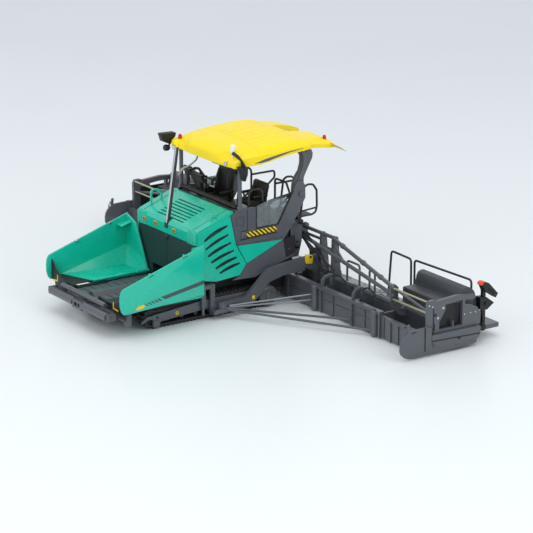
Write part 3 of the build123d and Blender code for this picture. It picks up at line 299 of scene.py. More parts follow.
def add_flat_plate(shape, outline, z0, z1, edge=EDGE):
    """An outline in X and Y, as thick as the span from z0 to z1."""
    add_prism(shape, [(x, y, z0) for x, y in outline], (0, 0, z1 - z0), edge)


def add_box(shape, x0, x1, y0, y1, z0, z1, edge=EDGE):
    """A block between two values of X, of Y and of Z."""
    add_flat_plate(shape, ((x0, y0), (x1, y0), (x1, y1), (x0, y1)), z0, z1, edge)


print("edges are rounded by", EDGE, "mm where they turn by over", SHARP_DEG, "degrees")

# %% [markdown]
# ### Turned and bent parts
# A lathe part is a row of circles along its axis, and a bent wire is a row of circles along its
# path. Both are skinned by the same function. The circles are carried on from one to the next, so
# a wire never twists at a bend.

# %% turned parts and tubes


def add_rings(shape, rings):
    """Skins a run of rings that have equal numbers of points, and closes both ends."""
    loops = [[shape.verts.new(point) for point in ring] for ring in rings]
    count = len(loops[0])
    faces = []
    for near, far in zip(loops, loops[1:]):
        for k in range(count):
            step = (k + 1) % count
            faces.append(shape.faces.new((near[k], near[step], far[step], far[k])))
    faces.append(shape.faces.new(list(reversed(loops[0]))))
    faces.append(shape.faces.new(loops[-1]))
    bmesh.ops.recalc_face_normals(shape, faces=faces)


def circle(centre, across, upright, radius, sides):
    """Points round a centre, in the plane of two unit directions."""
    turns = [2 * math.pi * k / sides for k in range(sides)]
    return [centre + across * (radius * math.cos(t)) + upright * (radius * math.sin(t)) for t in turns]


def add_turned(shape, start, end, profile, sides=28):
    """A turned part: the profile lists (share of the way from start to end, radius)."""
    start = Vector(start)
    run = Vector(end) - start
    across = run.orthogonal().normalized()
    upright = run.normalized().cross(across)
    rings = [circle(start + run * share, across, upright, radius, sides) for share, radius in profile]
    add_rings(shape, rings)


def add_rod(shape, start, end, radius, sides=20, edge=0.12):
    """A round bar with broken edges at both ends."""
    length = (Vector(end) - Vector(start)).length
    cut = min(edge, 0.4 * radius, 0.3 * length) / length
    tip = radius - cut * length
    add_turned(shape, start, end, ((0, tip), (cut, radius), (1 - cut, radius), (1, tip)), sides)


def rounded(points, bend, steps=6):
    """A path with each corner rounded off by a short curve."""
    corners = [Vector(point) for point in points]
    route = [corners[0]]
    for before, corner, after in zip(corners, corners[1:], corners[2:]):
        towards = (before - corner).normalized()
        away = (after - corner).normalized()
        turn = math.pi - towards.angle(away)
        room = 0.45 * min((before - corner).length, (after - corner).length)
        setback = min(bend * math.tan(turn / 2), room)
        start = corner + towards * setback
        end = corner + away * setback
        for i in range(steps + 1):
            share = i / steps
            route.append(start.lerp(corner, share).lerp(corner.lerp(end, share), share))
    route.append(corners[-1])
    return route


def add_tube(shape, points, radius, bend=1.6, sides=14):
    """A bent round bar that follows a path without twisting."""
    route = rounded(points, bend) if len(points) > 2 else [Vector(point) for point in points]
    across = (route[1] - route[0]).orthogonal().normalized()
    before = (route[1] - route[0]).normalized()
    rings = []
    for i, point in enumerate(route):
        ahead = route[min(i + 1, len(route) - 1)] - route[max(i - 1, 0)]
        along = ahead.normalized()
        across = before.rotation_difference(along) @ across
        across = (across - along * across.dot(along)).normalized()
        rings.append(circle(point, across, along.cross(across), radius, sides))
        before = along
    add_rings(shape, rings)


def add_bolt(shape, centre, outwards, radius=0.45, height=0.3):
    """A six-sided head that stands on a face."""
    centre = Vector(centre)
    add_turned(shape, centre - Vector(outwards) * 0.1, centre + Vector(outwards) * height,
               ((0, radius), (0.7, radius), (1, radius * 0.7)), 6)


RIGHT_ANGLE = ((0, 0, 0), (5, 0, 0), (5, 5, 0))
print("a wire's right angle is bent over", len(rounded(RIGHT_ANGLE, 1.6)) - 2, "points")

# %% [markdown]
# ### Mirroring and handing over
# The paver is the same left and right, so most shapes are drawn once and mirrored. `piece` turns a
# shape into one object in metres, lets it ride on a body of the CAD frame, and says which CAD
# nodes it stands for, so that it moves with them and they are not shown twice.

# %% mirrored shapes and pieces
PIECES = []
REPORTED = []


def flip_shape(shape):
    """Turns a left-hand shape into the right-hand one."""
    bmesh.ops.scale(shape, vec=(1, -1, 1), verts=shape.verts[:])
    bmesh.ops.reverse_faces(shape, faces=shape.faces[:])


def mirror_shape(shape):
    """Adds the same shapes on the other side of the model."""
    copied = bmesh.ops.duplicate(shape, geom=shape.verts[:] + shape.edges[:] + shape.faces[:])["geom"]
    faces = [item for item in copied if isinstance(item, bmesh.types.BMFace)]
    for vertex in (item for item in copied if isinstance(item, bmesh.types.BMVert)):
        vertex.co.y = -vertex.co.y
    bmesh.ops.reverse_faces(shape, faces=faces)


def piece(shape, name, material, body, stands_for=(), smooth=38.0):
    """The shape as one object in the frame, riding on a body and standing for CAD nodes."""
    mesh = bpy.data.meshes.new(name)
    shape.to_mesh(mesh)
    shape.free()
    mesh.transform(Matrix.Translation((DRAWING_SHIFT_X * MM, 0, 0)) @ Matrix.Scale(MM, 4))
    mesh.materials.append(material)
    mesh.shade_smooth()
    mesh.set_sharp_from_angle(angle=math.radians(smooth))
    made = bpy.data.objects.new(name, mesh)
    bpy.context.scene.collection.objects.link(made)
    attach(made, body)
    if stands_for:
        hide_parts(*stands_for)
    PIECES.append(made)


def report(title):
    """Prints how many pieces and faces were made since the last report."""
    made = PIECES[len(REPORTED):]
    REPORTED.extend(made)
    print(title, "-", len(made), "pieces,", sum(len(item.data.polygons) for item in made), "faces")


report("start")

# %% [markdown]
# ## Bent rods
# Rails, hoops and lifting eyes are bent from one round wire, so each is a tube along its path.
# A curve object with a bevel would do as well, but the tube keeps an even wall at tight bends.
# The guard rails stand on the platform, two beside the seats and two at its rear edge.

# %% platform rails
DECK_Z = 37.0
RAIL_R = 0.5
SIDE_RAIL_Y = 23.0
REAR_RAIL_X = -47.6
GUARDS = ((7.8, 16.8), (-11.7, -17.8))

rails = new_shape()
for side, ahead in ((1, 0.0), (-1, 3.3)):
    y = side * SIDE_RAIL_Y
    add_tube(rails, ((-23.0 + ahead, y, DECK_Z), (-23.0 + ahead, y, 55.2), (-30.0 + ahead, y, 55.2),
                     (-31.6 + ahead, y, DECK_Z)), RAIL_R, 2.6)
    sill_y = y + side * 0.3
    add_tube(rails, ((-33.6, sill_y, DECK_Z), (-33.6, sill_y, 48.6), (-46.4, sill_y, 50.4)), 0.7, 1.8)
for inner, outer in GUARDS:
    side = math.copysign(1.0, outer)
    leg = outer + side * 3.4
    x = REAR_RAIL_X
    add_tube(rails, ((x + 9.0, inner, DECK_Z), (x, inner, 44.4), (x, inner, 54.0), (x, outer, 54.0),
                     (x, leg, 48.8), (x + 1.4, leg, DECK_Z)), RAIL_R, 2.0)
    add_tube(rails, ((x - 0.6, inner, 51.4), (-60.6, inner, 51.4), (-60.6, inner, 48.2),
                     (x - 1.6, inner, 39.4), (x - 1.6, inner, DECK_Z)), RAIL_R, 1.6)
piece(rails, "platform_rail_tubes", BLACK_PAINT, "tractor", ("platform_rails",))
report("platform rails")

# %% [markdown]
# ### Hoops over the rear steps, and lifting eyes
# Behind the platform lies a step plate between two hoops, which a driver holds on the way up. Two
# lifting eyes stand on the hood. The hoops end on the plate, clear of the screed when it is lifted.

# %% step hoops and lifting eyes
steps = new_shape()
HOOP_Y = (4.4, 21.0)
add_plate(steps, ((-50.6, 37.0), (-52.4, 37.0), (-53.2, 37.7), (-59.0, 37.7), (-59.0, 38.5),
                  (-50.6, 38.5)), HOOP_Y[0] - 0.6, HOOP_Y[1] + 0.6, 0.1)
for y in HOOP_Y:
    add_tube(steps, ((-52.6, y, 37.8), (-54.6, y, 51.6), (-56.6, y, 52.6), (-59.6, y, 52.2),
                     (-61.6, y, 49.2), (-61.8, y, 42.0), (-61.2, y, 38.9), (-58.8, y, 38.0)),
             RAIL_R, 2.0)
    add_tube(steps, ((-53.2, y, 40.4), (-61.6, y, 41.0)), 0.42)
piece(steps, "rear_step_hoops", BLACK_PAINT, "tractor", ("rear_steps",))

eyes = new_shape()
add_tube(eyes, ((-6.4, 22.4, 41.5), (-5.4, 22.4, 46.8), (-3.2, 22.4, 46.8), (-3.2, 22.4, 42.0)), 0.5, 1.0)
add_tube(eyes, ((-4.0, -20.4, 42.5), (-3.8, -20.4, 48.6), (1.6, -20.4, 50.0), (1.6, -20.4, 41.5)),
         0.55, 2.4)
piece(eyes, "hood_lifting_eyes", GREEN, "tractor", ("hood_eyes",))
report("hoops and eyes")

# %% [markdown]
# ### Screed rails and bent arm
# Two tall rails stand along the rear edge of the screed on each side, and each has a low bar where
# the sections meet. A thin arm of plated wire hangs under the front of the canopy and reaches out
# to the right.

# %% screed rails and bent arm
screed_rails = new_shape()
SCREED_RAIL_X = -75.6
OUTER_RAIL_X = -76.2
SECTION_END_Y = 87.0
x = SCREED_RAIL_X
add_tube(screed_rails,
         ((x, 57.8, 5.6), (x, 60.0, 27.5), (x, 74.6, 27.2), (x, 74.8, 9.8), (x, SECTION_END_Y, 9.8)),
         RAIL_R, 1.8)
x = OUTER_RAIL_X
add_tube(screed_rails, ((x, SECTION_END_Y, 8.4), (x, 76.4, 8.4), (x, 76.4, 27.1), (x, 117.0, 28.2),
                        (x, 117.0, 22.4)), RAIL_R, 1.8)
mirror_shape(screed_rails)
piece(screed_rails, "screed_rail_tubes", BLACK_PAINT, "screed", ("screed_rails",))

arm = new_shape()
add_tube(arm, ((-14.2, -5.2, 67.4), (-14.4, -6.8, 64.4), (-14.5, -12.6, 60.5), (-14.7, -18.6, 57.8),
               (-15.4, -23.2, 55.0)), 0.42, 4.0)
add_tube(arm, ((-14.6, -17.6, 58.2), (-14.8, -20.6, 55.4), (-15.2, -23.6, 53.4)), 0.32, 1.0)
piece(arm, "bent_arm_wire", PALE_STEEL, "tractor", ("mirror_arm",))
report("screed rails and arm")

# %% [markdown]
# ## Canopy
# The roof is a thin yellow moulding. Its skin is drawn slice by slice: a crowned top, sloping
# shoulders and upright sides. A subdivided cage would be quicker, but it would soften the lip and
# lose the pressed lines, so extra slices and points sit where a seam or a groove is pressed in.

# %% outline of the canopy
CANOPY_WALL = 0.9
SEAM_X = (-27.4, -50.6)
GROOVES_Y = (3.2, 7.6, 12.0, 16.4)
PRESS_DEPTH = 0.28
ROOF = (
    # x, lip z, edge z, crown z, half width
    (-12.92, 67.3, 69.3, 69.5, 25.2),
    (-13.2, 67.2, 69.8, 70.5, 26.0),
    (-14.2, 67.2, 70.2, 71.6, 26.4),
    (-16.0, 67.3, 70.6, 72.8, 26.5),
    (-19.0, 67.5, 71.1, 74.0, 26.5),
    (-23.0, 67.3, 71.4, 75.1, 26.5),
    (-26.7, 67.4, 71.5, 75.6, 26.5),
    (-32.0, 68.0, 71.7, 76.1, 26.5),
    (-38.0, 69.0, 72.0, 76.4, 26.5),
    (-44.0, 69.8, 72.4, 76.5, 26.5),
    (-50.0, 70.4, 72.7, 75.9, 26.5),
    (-54.6, 70.7, 72.5, 75.1, 26.4),
    (-55.4, 70.8, 72.3, 74.6, 25.6),
)
TAIL = (
    (-55.0, 70.4, 72.0, 74.8, 23.4),
    (-60.0, 69.7, 71.6, 74.3, 23.0),
    (-65.0, 69.0, 70.9, 73.4, 22.6),
    (-69.4, 68.4, 70.2, 72.0, 22.2),
    (-70.9, 68.3, 69.8, 71.0, 21.7),
)
TAIL_GAP = 6.5
TAIL_LIP = 2.4
print("canopy:", len(ROOF), "rows for the roof and", len(TAIL), "for each half of the tail")

# %% [markdown]
# ### One slice of the canopy
# Each slice starts at the middle and runs over the crown, round the shoulder and down to the lip.
# The front bears a raised shield like a visor, which narrows towards the lip.

# %% slices of the canopy
SHOULDER = 4.5
VISOR_RISE = 1.5


def between(rows, x):
    """The row of a table at any x, by straight interpolation."""
    for before, after in zip(rows, rows[1:]):
        if after[0] <= x <= before[0]:
            share = (x - before[0]) / (after[0] - before[0])
            return tuple(a + (b - a) * share for a, b in zip(before, after))
    return rows[-1]


def crown_height(x, y, crown, half):
    """The height over the middle part, which bows down to both sides and bears the visor."""
    drop = 1.5 - 0.9 * min(1.0, max(0.0, (-40.0 - x) / 15.0))
    return crown - drop * (abs(y) / (half - SHOULDER)) ** 2.2 + visor_rise(x, y)


def visor_rise(x, y):
    """A shield is raised on the front of the roof; it narrows towards the lip."""
    edge_y = 13.0 + 8.6 * min(1.0, max(0.0, (-13.0 - x) / 6.0))
    across = min(1.0, max(0.0, (edge_y - abs(y)) / 0.85))
    along = min(1.0, max(0.0, (x + 25.0) / 6.0))
    return VISOR_RISE * (across - 0.6) * along


def half_slice(row, inner, grooved):
    """Points (y, z) from the middle of the roof out to the lip."""
    x, lip, edge, crown, half = row
    shoulder = half - SHOULDER
    stations = [inner]
    for groove in GROOVES_Y:
        stations += [groove - 0.45, groove - 0.2, groove + 0.2, groove + 0.45]
    stations += [12.6 + 0.83 * k for k in range(9) if abs(12.6 + 0.83 * k - 16.4) > 0.5]
    points = []
    for y in sorted({station for station in stations if station >= inner} | {shoulder - 1.2, shoulder}):
        pressed = grooved and any(abs(y - groove) < 0.3 for groove in GROOVES_Y)
        points.append((y, crown_height(x, y, crown, half) - (PRESS_DEPTH if pressed else 0.0)))
    high = points[-1][1]
    for share in (0.3, 0.6, 0.85):
        bulge = 0.45 * math.sin(math.pi * share)
        points.append((shoulder + 4.2 * share, high + (edge - high) * share + bulge))
    points += [(half - 0.15, edge - 0.1), (half, edge - 0.6), (half, lip)]
    return points


def whole_slice(row, grooved, sink):
    """Points of a slice from the right lip over the middle to the left lip."""
    side = half_slice(row, 0.0, grooved)
    x = row[0]
    right = [Vector((x, -y, z - sink)) for y, z in reversed(side[1:])]
    return right + [Vector((x, y, z - sink)) for y, z in side]


def skin(shape, rows, wall):
    """A sheet through rows of points, given a wall towards its inside."""
    grid = [[shape.verts.new(point) for point in row] for row in rows]
    faces = []
    for near, far in zip(grid, grid[1:]):
        for k in range(len(near) - 1):
            faces.append(shape.faces.new((near[k], near[k + 1], far[k + 1], far[k])))
    bmesh.ops.remove_doubles(shape, verts=[v for row in grid for v in row], dist=0.002)
    faces = [face for face in faces if face.is_valid]
    bmesh.ops.recalc_face_normals(shape, faces=faces)
    if sum(face.normal.z for face in faces) < 0:
        bmesh.ops.reverse_faces(shape, faces=faces)
    bmesh.ops.solidify(shape, geom=faces, thickness=wall)


print("one slice of the canopy has", len(whole_slice(ROOF[0], True, 0.0)), "points")

# %% [markdown]
# ### Roof and tail
# The roof is one sheet. Behind it the tail is split by a gap in the middle, so each half is a
# sheet of its own that starts at the gap.

# %% roof and tail
roof = new_shape()
main_x = {row[0] for row in ROOF} | {-20.9, -29.6, -35.0, -41.0, -47.0, -52.4}
for seam in SEAM_X:
    main_x |= {seam + 0.5, seam + 0.2, seam - 0.2, seam - 0.5}
slices = []
for x in sorted(main_x, reverse=True):
    on_panel = SEAM_X[1] + 0.7 < x < SEAM_X[0] - 0.7
    in_seam = any(abs(x - seam) < 0.3 for seam in SEAM_X)
    slices.append(whole_slice(between(ROOF, x), on_panel, PRESS_DEPTH if in_seam else 0.0))
front_lip = [Vector((point.x - 0.02, point.y, min(point.z, 66.9 + 0.7 * (abs(point.y) / 26.0) ** 3)))
             for point in slices[0]]
rear_lip = [Vector((point.x, point.y, min(point.z, 73.6))) for point in slices[-1]]
skin(roof, [front_lip] + slices + [rear_lip], CANOPY_WALL)
for side in (1, -1):
    rows = []
    for row in TAIL:
        inner_lip = (TAIL_GAP, crown_height(row[0], TAIL_GAP, row[3], row[4]) - TAIL_LIP)
        points = [inner_lip] + half_slice(row, TAIL_GAP, False)
        rows.append([Vector((row[0], side * y, z)) for y, z in points])
    rows.append([Vector((rows[-1][0].x, point.y, min(point.z, 68.5))) for point in rows[-1]])
    skin(roof, rows, CANOPY_WALL)
piece(roof, "canopy_moulding", YELLOW, "tractor", ("canopy_roof",), smooth=30.0)
report("canopy moulding")

# %% [markdown]
# ### Stripe, beacon and marker lamps
# A grey sliver runs along each side of the roof. The beacon and two red lamps stand on the skin, so
# their feet are worked out from the same slices.

# %% stripe, beacon and marker lamps


def roof_z(x, y):
    """The height of the roof's outer skin above a point."""
    rows = ROOF if x > -55.0 else TAIL
    points = half_slice(between(rows, x), 0.0, False)
    for (y0, z0), (y1, z1) in zip(points, points[1:]):
        if y0 <= abs(y) <= y1:
            return z0 + (z1 - z0) * (abs(y) - y0) / (y1 - y0)
    return points[-1][1]


STRIPE = ((-23.7, 68.35), (-26.7, 68.95), (-28.6, 69.4), (-32.1, 69.95), (-37.5, 70.7), (-42.9, 71.35),
          (-50.4, 71.75), (-50.4, 71.55), (-42.9, 70.75), (-34.8, 69.2), (-31.0, 68.4), (-27.7, 68.05))
stripe = new_shape()
add_plate(stripe, STRIPE, 26.4, 26.56, 0.02)
mirror_shape(stripe)
piece(stripe, "canopy_side_stripe", GREY, "tractor")

beacon = new_shape()
BEACON_X = -16.9
BEACON_Y = 19.5
foot_z = roof_z(BEACON_X, BEACON_Y) - 0.3
add_turned(beacon, (BEACON_X, BEACON_Y, foot_z), (BEACON_X, BEACON_Y, 76.5),
           ((0.0, 0.75), (0.06, 0.75), (0.1, 0.55), (0.34, 0.62), (0.4, 1.0), (0.46, 1.12), (0.9, 1.12),
            (0.97, 0.98), (1.0, 0.6)))
piece(beacon, "beacon_lamp", WHITE, "tractor", ("beacon",))

markers = new_shape()
for x, y in ((-16.2, -23.4), (-67.4, 18.6)):
    z = roof_z(x, y) - 0.2
    add_turned(markers, (x, y, z), (x, y, z + 2.0),
               ((0, 0.95), (0.25, 0.95), (0.3, 0.8), (0.8, 0.8), (0.95, 0.6), (1.0, 0.3)))
piece(markers, "marker_lamps_red", RED, "tractor", ("marker_lamps",))
report("stripe and lamps on the roof")

# %% [markdown]
# ### Corner lamps, lip and front posts
# Black lamp housings hang at the front corners, the near one from a bent bracket. Two small bright
# spots hang under the lip, and two plain tubes carry the front of the roof.

# %% corner lamps, lip seal and posts
lamps = new_shape()
add_plate(lamps, ((-8.2, 73.0), (-16.3, 72.7), (-15.9, 70.8), (-14.1, 69.4), (-13.3, 67.4), (-9.4, 69.2)),
          -30.4, -26.7, 0.35)
add_turned(lamps, (-13.6, -28.4, 65.6), (-10.8, -28.4, 65.9),
           ((0, 0.7), (0.3, 1.4), (0.85, 1.5), (1.0, 1.3)))
add_rod(lamps, (-13.0, -28.2, 65.8), (-13.6, -27.6, 69.6), 0.4)
add_plate(lamps, ((-13.6, 68.6), (-18.6, 68.2), (-18.4, 64.6), (-17.2, 61.6), (-16.0, 61.9),
                  (-15.4, 64.4)), 26.9, 29.6, 0.4)
BRACKET = ((19.0, 72.0), (20.3, 73.6), (24.6, 72.6), (27.6, 71.0), (30.2, 69.0), (30.2, 67.6),
           (27.0, 67.0), (26.7, 70.2), (22.3, 71.6))
add_front_plate(lamps, BRACKET, -16.9, -16.2, 0.15)
piece(lamps, "canopy_corner_lamps", BLACK, "tractor", ("canopy_lamps",))

spots = new_shape()
for y, z in ((19.6, 68.2), (-23.4, 66.8)):
    add_turned(spots, (-14.4, y, z), (-12.3, y, z), ((0, 0.5), (0.3, 1.0), (0.9, 1.15), (1.0, 0.95)))
    add_rod(spots, (-13.6, y, z), (-13.6, y, z + 1.4), 0.3)
piece(spots, "small_round_lamps", CHROME, "tractor")

lip_band = new_shape()
lip_points = [(y, 66.75 + 0.7 * (abs(y) / 26.0) ** 3) for y in range(8, 24, 3)]
for (y0, z0), (y1, z1) in zip(lip_points, lip_points[1:]):
    add_tube(lip_band, ((-13.5, y0, z0), (-13.5, y1, z1)), 0.35)
piece(lip_band, "canopy_lip_seal", BLACK, "tractor")

posts = new_shape()
POST_X = -17.3
add_rod(posts, (POST_X, 24.4, 47.4), (POST_X, 24.4, 68.2), 0.95, 24)
add_box(posts, POST_X - 1.2, POST_X + 1.2, 23.5, 25.2, 47.3, 48.9, 0.2)
add_box(posts, POST_X - 1.2, POST_X + 1.2, 23.3, 25.4, 67.0, 68.6, 0.2)
mirror_shape(posts)
piece(posts, "canopy_post_tubes", GREY, "tractor", ("canopy_front_posts",))
report("corner lamps and posts")

# %% [markdown]
# ## Operator's place
# The two seats are hard plastic mouldings: a dished cushion, a backrest with raised sides, and
# armrests. They are plates with rounded edges, because a moulding this small has no cloth or
# seams, and they stand for the plain blocks of the CAD part.

# %% seats


def moulded_seat(name, x, y, width, top_z, node):
    """One seat, placed by the middle of its cushion and by the top of its backrest."""
    half = width / 2
    shape = new_shape()
    add_box(shape, x - 3.0, x + 1.0, y - 2.0, y + 2.0, DECK_Z, 44.0, 0.4)
    cushion = ((x - 4.6, 43.6), (x - 4.8, 46.0), (x - 3.0, 45.9), (x + 0.6, 46.2), (x + 2.2, 45.8),
               (x + 2.6, 44.6), (x + 1.6, 43.6))
    add_plate(shape, cushion, y - half, y + half, 0.5)
    back = ((x - 2.8, 45.4), (x - 5.0, 45.4), (x - 6.9, top_z - 1.6), (x - 6.6, top_z - 0.3),
            (x - 5.7, top_z), (x - 4.5, top_z - 0.6), (x - 4.3, top_z - 2.4))
    add_plate(shape, back, y - half, y + half, 0.7)
    for side in (1, -1):
        edge_y = y + side * (half - 0.9)
        bolster = ((x - 2.4, 45.6), (x - 4.2, 45.6), (x - 5.6, top_z - 3.0), (x - 4.0, top_z - 2.6),
                   (x - 2.6, top_z - 6.0))
        add_plate(shape, bolster, edge_y - 0.8, edge_y + 0.8, 0.5)
        add_plate(shape, ((x - 3.6, 45.6), (x + 1.8, 45.6), (x + 1.6, 46.8), (x - 3.4, 47.0)),
                  edge_y - 0.7, edge_y + 0.7, 0.4)
        arm_y = y + side * (half + 0.5)
        add_plate(shape, ((x - 5.2, 48.4), (x + 2.0, 48.4), (x + 2.4, 49.0), (x + 1.8, 49.6),
                          (x - 5.2, 49.6)), arm_y - 0.6, arm_y + 0.6, 0.3)
        add_box(shape, x - 4.8, x - 3.2, arm_y - 0.5, arm_y + 0.5, 45.0, 49.0, 0.2)
    piece(shape, name, BLACK, "tractor", (node,))


moulded_seat("seat_right", -24.5, -5.2, 10.6, 60.8, "operator_seat_right")
moulded_seat("seat_left", -33.0, 9.8, 10.2, 54.6, "operator_seat_left")
report("seats")

# %% [markdown]
# ### Levers and knobs
# A post with a tilted panel stands before the far seat, with a grab rail beside it, a lever with a
# round knob, and an armrest box with three small knobs. They stand for the CAD part's console.

# %% levers and knobs
controls = new_shape()
add_box(controls, -21.8, -19.6, -15.4, -12.4, DECK_Z, 51.4, 0.3)
add_front_plate(controls, ((-22.9, 54.5), (-11.8, 54.5), (-10.1, 51.6), (-16.9, 50.1)), -22.0, -19.8, 0.3)
add_tube(controls, ((-22.0, -25.4, 47.4), (-22.0, -25.2, 53.8), (-22.0, -20.1, 56.6),
                    (-22.0, -16.7, 57.1), (-22.0, -12.4, 54.6)), 0.5, 2.6)
add_rod(controls, (-24.6, -14.0, 46.0), (-24.2, -14.0, 53.2), 0.35)
add_turned(controls, (-24.2, -14.0, 52.8), (-24.1, -14.0, 54.0),
           ((0, 0.3), (0.2, 0.65), (0.8, 0.65), (1, 0.3)), 16)
add_box(controls, -31.6, -23.4, -14.8, -12.2, 45.2, 48.6, 0.5)
for x in (-27.2, -29.0, -30.6):
    add_turned(controls, (x, -13.6, 48.4), (x, -13.6, 49.9), ((0, 0.5), (0.7, 0.5), (1, 0.3)), 12)
piece(controls, "levers_and_knobs", BLACK, "tractor", ("control_console",))

chrome_bits = new_shape()
add_rod(chrome_bits, (-23.6, -10.6, 49.9), (-24.2, -6.8, 49.9), 0.45)
piece(chrome_bits, "armrest_lever", CHROME, "tractor")
report("levers and knobs")

# %% [markdown]
# ## Exhaust
# A slim chromed pipe leans back from the notch in the hood. A black strip runs down its rear side
# as painted shade for the dark half of the round pipe, so it looks half bright and half dark.
# The pipe is turned with a real bore, because its open end shows from above.

# %% exhaust
STACK_FOOT = Vector((5.9, 0.0, 37.9))
STACK_TOP = Vector((0.4, 0.0, 73.7))
BRIGHT_SHIFT = Vector((0.3, -0.3, 0.0))
pipe = new_shape()
add_turned(pipe, STACK_FOOT + BRIGHT_SHIFT, STACK_TOP + BRIGHT_SHIFT,
           ((0.0, 0.8), (0.02, 0.8), (0.03, 0.5), (0.985, 0.5), (1.0, 0.46), (1.0, 0.34), (0.9, 0.34)),
           32)
piece(pipe, "exhaust_pipe", CHROME, "tractor", ("exhaust_stack",))

# The black strip is painted shade for the dark half of the pipe; the block and collar sit at its foot.
strip = new_shape()
add_tube(strip, (STACK_FOOT - BRIGHT_SHIFT * 1.4, STACK_TOP - BRIGHT_SHIFT * 1.4), 0.48)
add_box(strip, 4.2, 6.7, -1.3, 1.3, 37.3, 38.1, 0.15)
add_turned(strip, STACK_FOOT - Vector((0, 0, 0.4)), STACK_FOOT + Vector((-0.2, 0, 1.6)),
           ((0, 1.2), (0.8, 1.2), (1.0, 0.9)))
piece(strip, "exhaust_foot_and_dark_side_strip", BLACK_PAINT, "tractor")
report("exhaust")

# %% [markdown]
# ## Front of the hood
# Round ribs are cast on the front corners, just clear of the folded wings. Three amber latches sit
# on the front edge, a fine seam runs up each side of the top, and a knob sits on the wall below.
# Seams this thin are raised lines, because a cut would need the whole casting drawn again.

# %% hood
flutes = new_shape()
for y in (18.6, 20.3, 22.0, 23.7):
    add_turned(flutes, (6.2, y, 34.6), (6.2, y, 40.6), ((0, 0.7), (0.9, 0.7), (1.0, 0.4)), 16)
mirror_shape(flutes)
piece(flutes, "hood_corner_ribs", GREEN, "tractor")

latches = new_shape()
# The near-black sheets on the latches are painted shade for their slots.
latch_slots = new_shape()
for y in (-18.3, -8.7, 7.0):
    add_box(latches, 6.3, 6.8, y - 1.2, y + 1.2, 36.2, 38.5, 0.25)
    add_box(latch_slots, 6.7, 6.9, y - 0.65, y + 0.65, 36.8, 37.9, 0.05)
    add_rod(latches, (6.9, y - 0.4, 36.6), (6.9, y + 0.9, 37.9), 0.16, 10, 0.05)
piece(latch_slots, "hood_latch_slot_shades", INNER_GREY, "tractor")
piece(latches, "amber_hood_latches", AMBER, "tractor")

hood_seams = new_shape()
add_tube(hood_seams, ((5.1, 20.8, 40.9), (-12.4, 20.8, 47.25)), 0.2, sides=8)
mirror_shape(hood_seams)
piece(hood_seams, "hood_top_seams", DARK_GREEN, "tractor")

knob = new_shape()
add_turned(knob, (6.2, 0.4, 33.2), (7.3, 0.4, 33.2), ((0, 1.3), (0.5, 1.3), (0.6, 0.9), (1.0, 0.7)), 20)
add_box(knob, 6.3, 6.5, 0.2, 0.6, 15.0, 33.0, 0.0)
piece(knob, "rear_wall_knob", INNER_GREY, "tractor")
report("hood")

# %% [markdown]
# ## Side bodies
# The doors are parted from the body by dark seams, and the window is held by a black seal. A
# square frame marks where a plate would sit; it stays blank. Steps and bolts are raised castings.

# %% doors, plates and steps
SIDE_Y = 25.0
seams = new_shape()
add_box(seams, -21.1, -20.85, SIDE_Y - 0.1, SIDE_Y + 0.05, 37.6, 47.4, 0.0)
add_box(seams, -21.1, -17.6, SIDE_Y - 0.1, SIDE_Y + 0.05, 37.3, 37.55, 0.0)
add_plate(seams, ((-37.2, 38.0), (-37.9, 38.0), (-46.2, 52.0), (-45.5, 52.3)),
          SIDE_Y - 0.5, SIDE_Y + 0.25, 0.1)
add_plate(seams, ((-25.6, 37.5), (-37.8, 37.5), (-37.8, 38.0), (-25.6, 38.0)),
          SIDE_Y - 0.5, SIDE_Y + 0.1, 0.08)
add_plate(seams, ((-25.5, 37.6), (-25.5, 47.7), (-26.0, 47.7), (-26.0, 37.6)),
          SIDE_Y - 0.5, SIDE_Y + 0.1, 0.08)
add_plate(seams, ((-17.2, 33.8), (-36.8, 34.4), (-36.8, 34.15), (-17.2, 33.5)),
          SIDE_Y, SIDE_Y + 0.22, 0.0)
add_turned(seams, (-50.0, SIDE_Y - 0.4, 37.0), (-50.0, SIDE_Y + 1.0, 37.0),
           ((0, 1.3), (0.6, 1.3), (0.7, 0.8), (1.0, 0.6)))
mirror_shape(seams)
piece(seams, "door_seams_and_seals", BLACK, "tractor")

plates = new_shape()
frame_outer = ((-15.2, 44.4), (-18.9, 43.9), (-18.9, 40.2), (-15.2, 40.7))
for (x0, z0), (x1, z1) in zip(frame_outer, frame_outer[1:] + frame_outer[:1]):
    add_tube(plates, ((x0, SIDE_Y + 0.02, z0), (x1, SIDE_Y + 0.02, z1)), 0.16, sides=8)
mirror_shape(plates)
piece(plates, "blank_square_frame", PALE_PRINT, "tractor")

steps_up = new_shape()
add_plate(steps_up, ((-17.5, 34.1), (-17.6, 37.1), (-20.2, 37.0), (-20.5, 34.2)),
          SIDE_Y, SIDE_Y + 0.45, 0.15)
add_plate(steps_up, ((-25.7, 15.3), (-46.3, 21.9), (-46.3, 22.7), (-25.7, 16.1)),
          SIDE_Y, SIDE_Y + 0.25, 0.1)
for x, z in ((-13.9, 46.2), (-24.3, 46.6), (-23.9, 39.0), (-28.0, 21.0), (-43.6, 25.2), (-21.6, 18.4)):
    add_bolt(steps_up, (x, SIDE_Y, z), (0, 1, 0), 0.4, 0.25)
mirror_shape(steps_up)
piece(steps_up, "side_body_steps_and_bolts", GREY, "tractor")
report("side bodies")
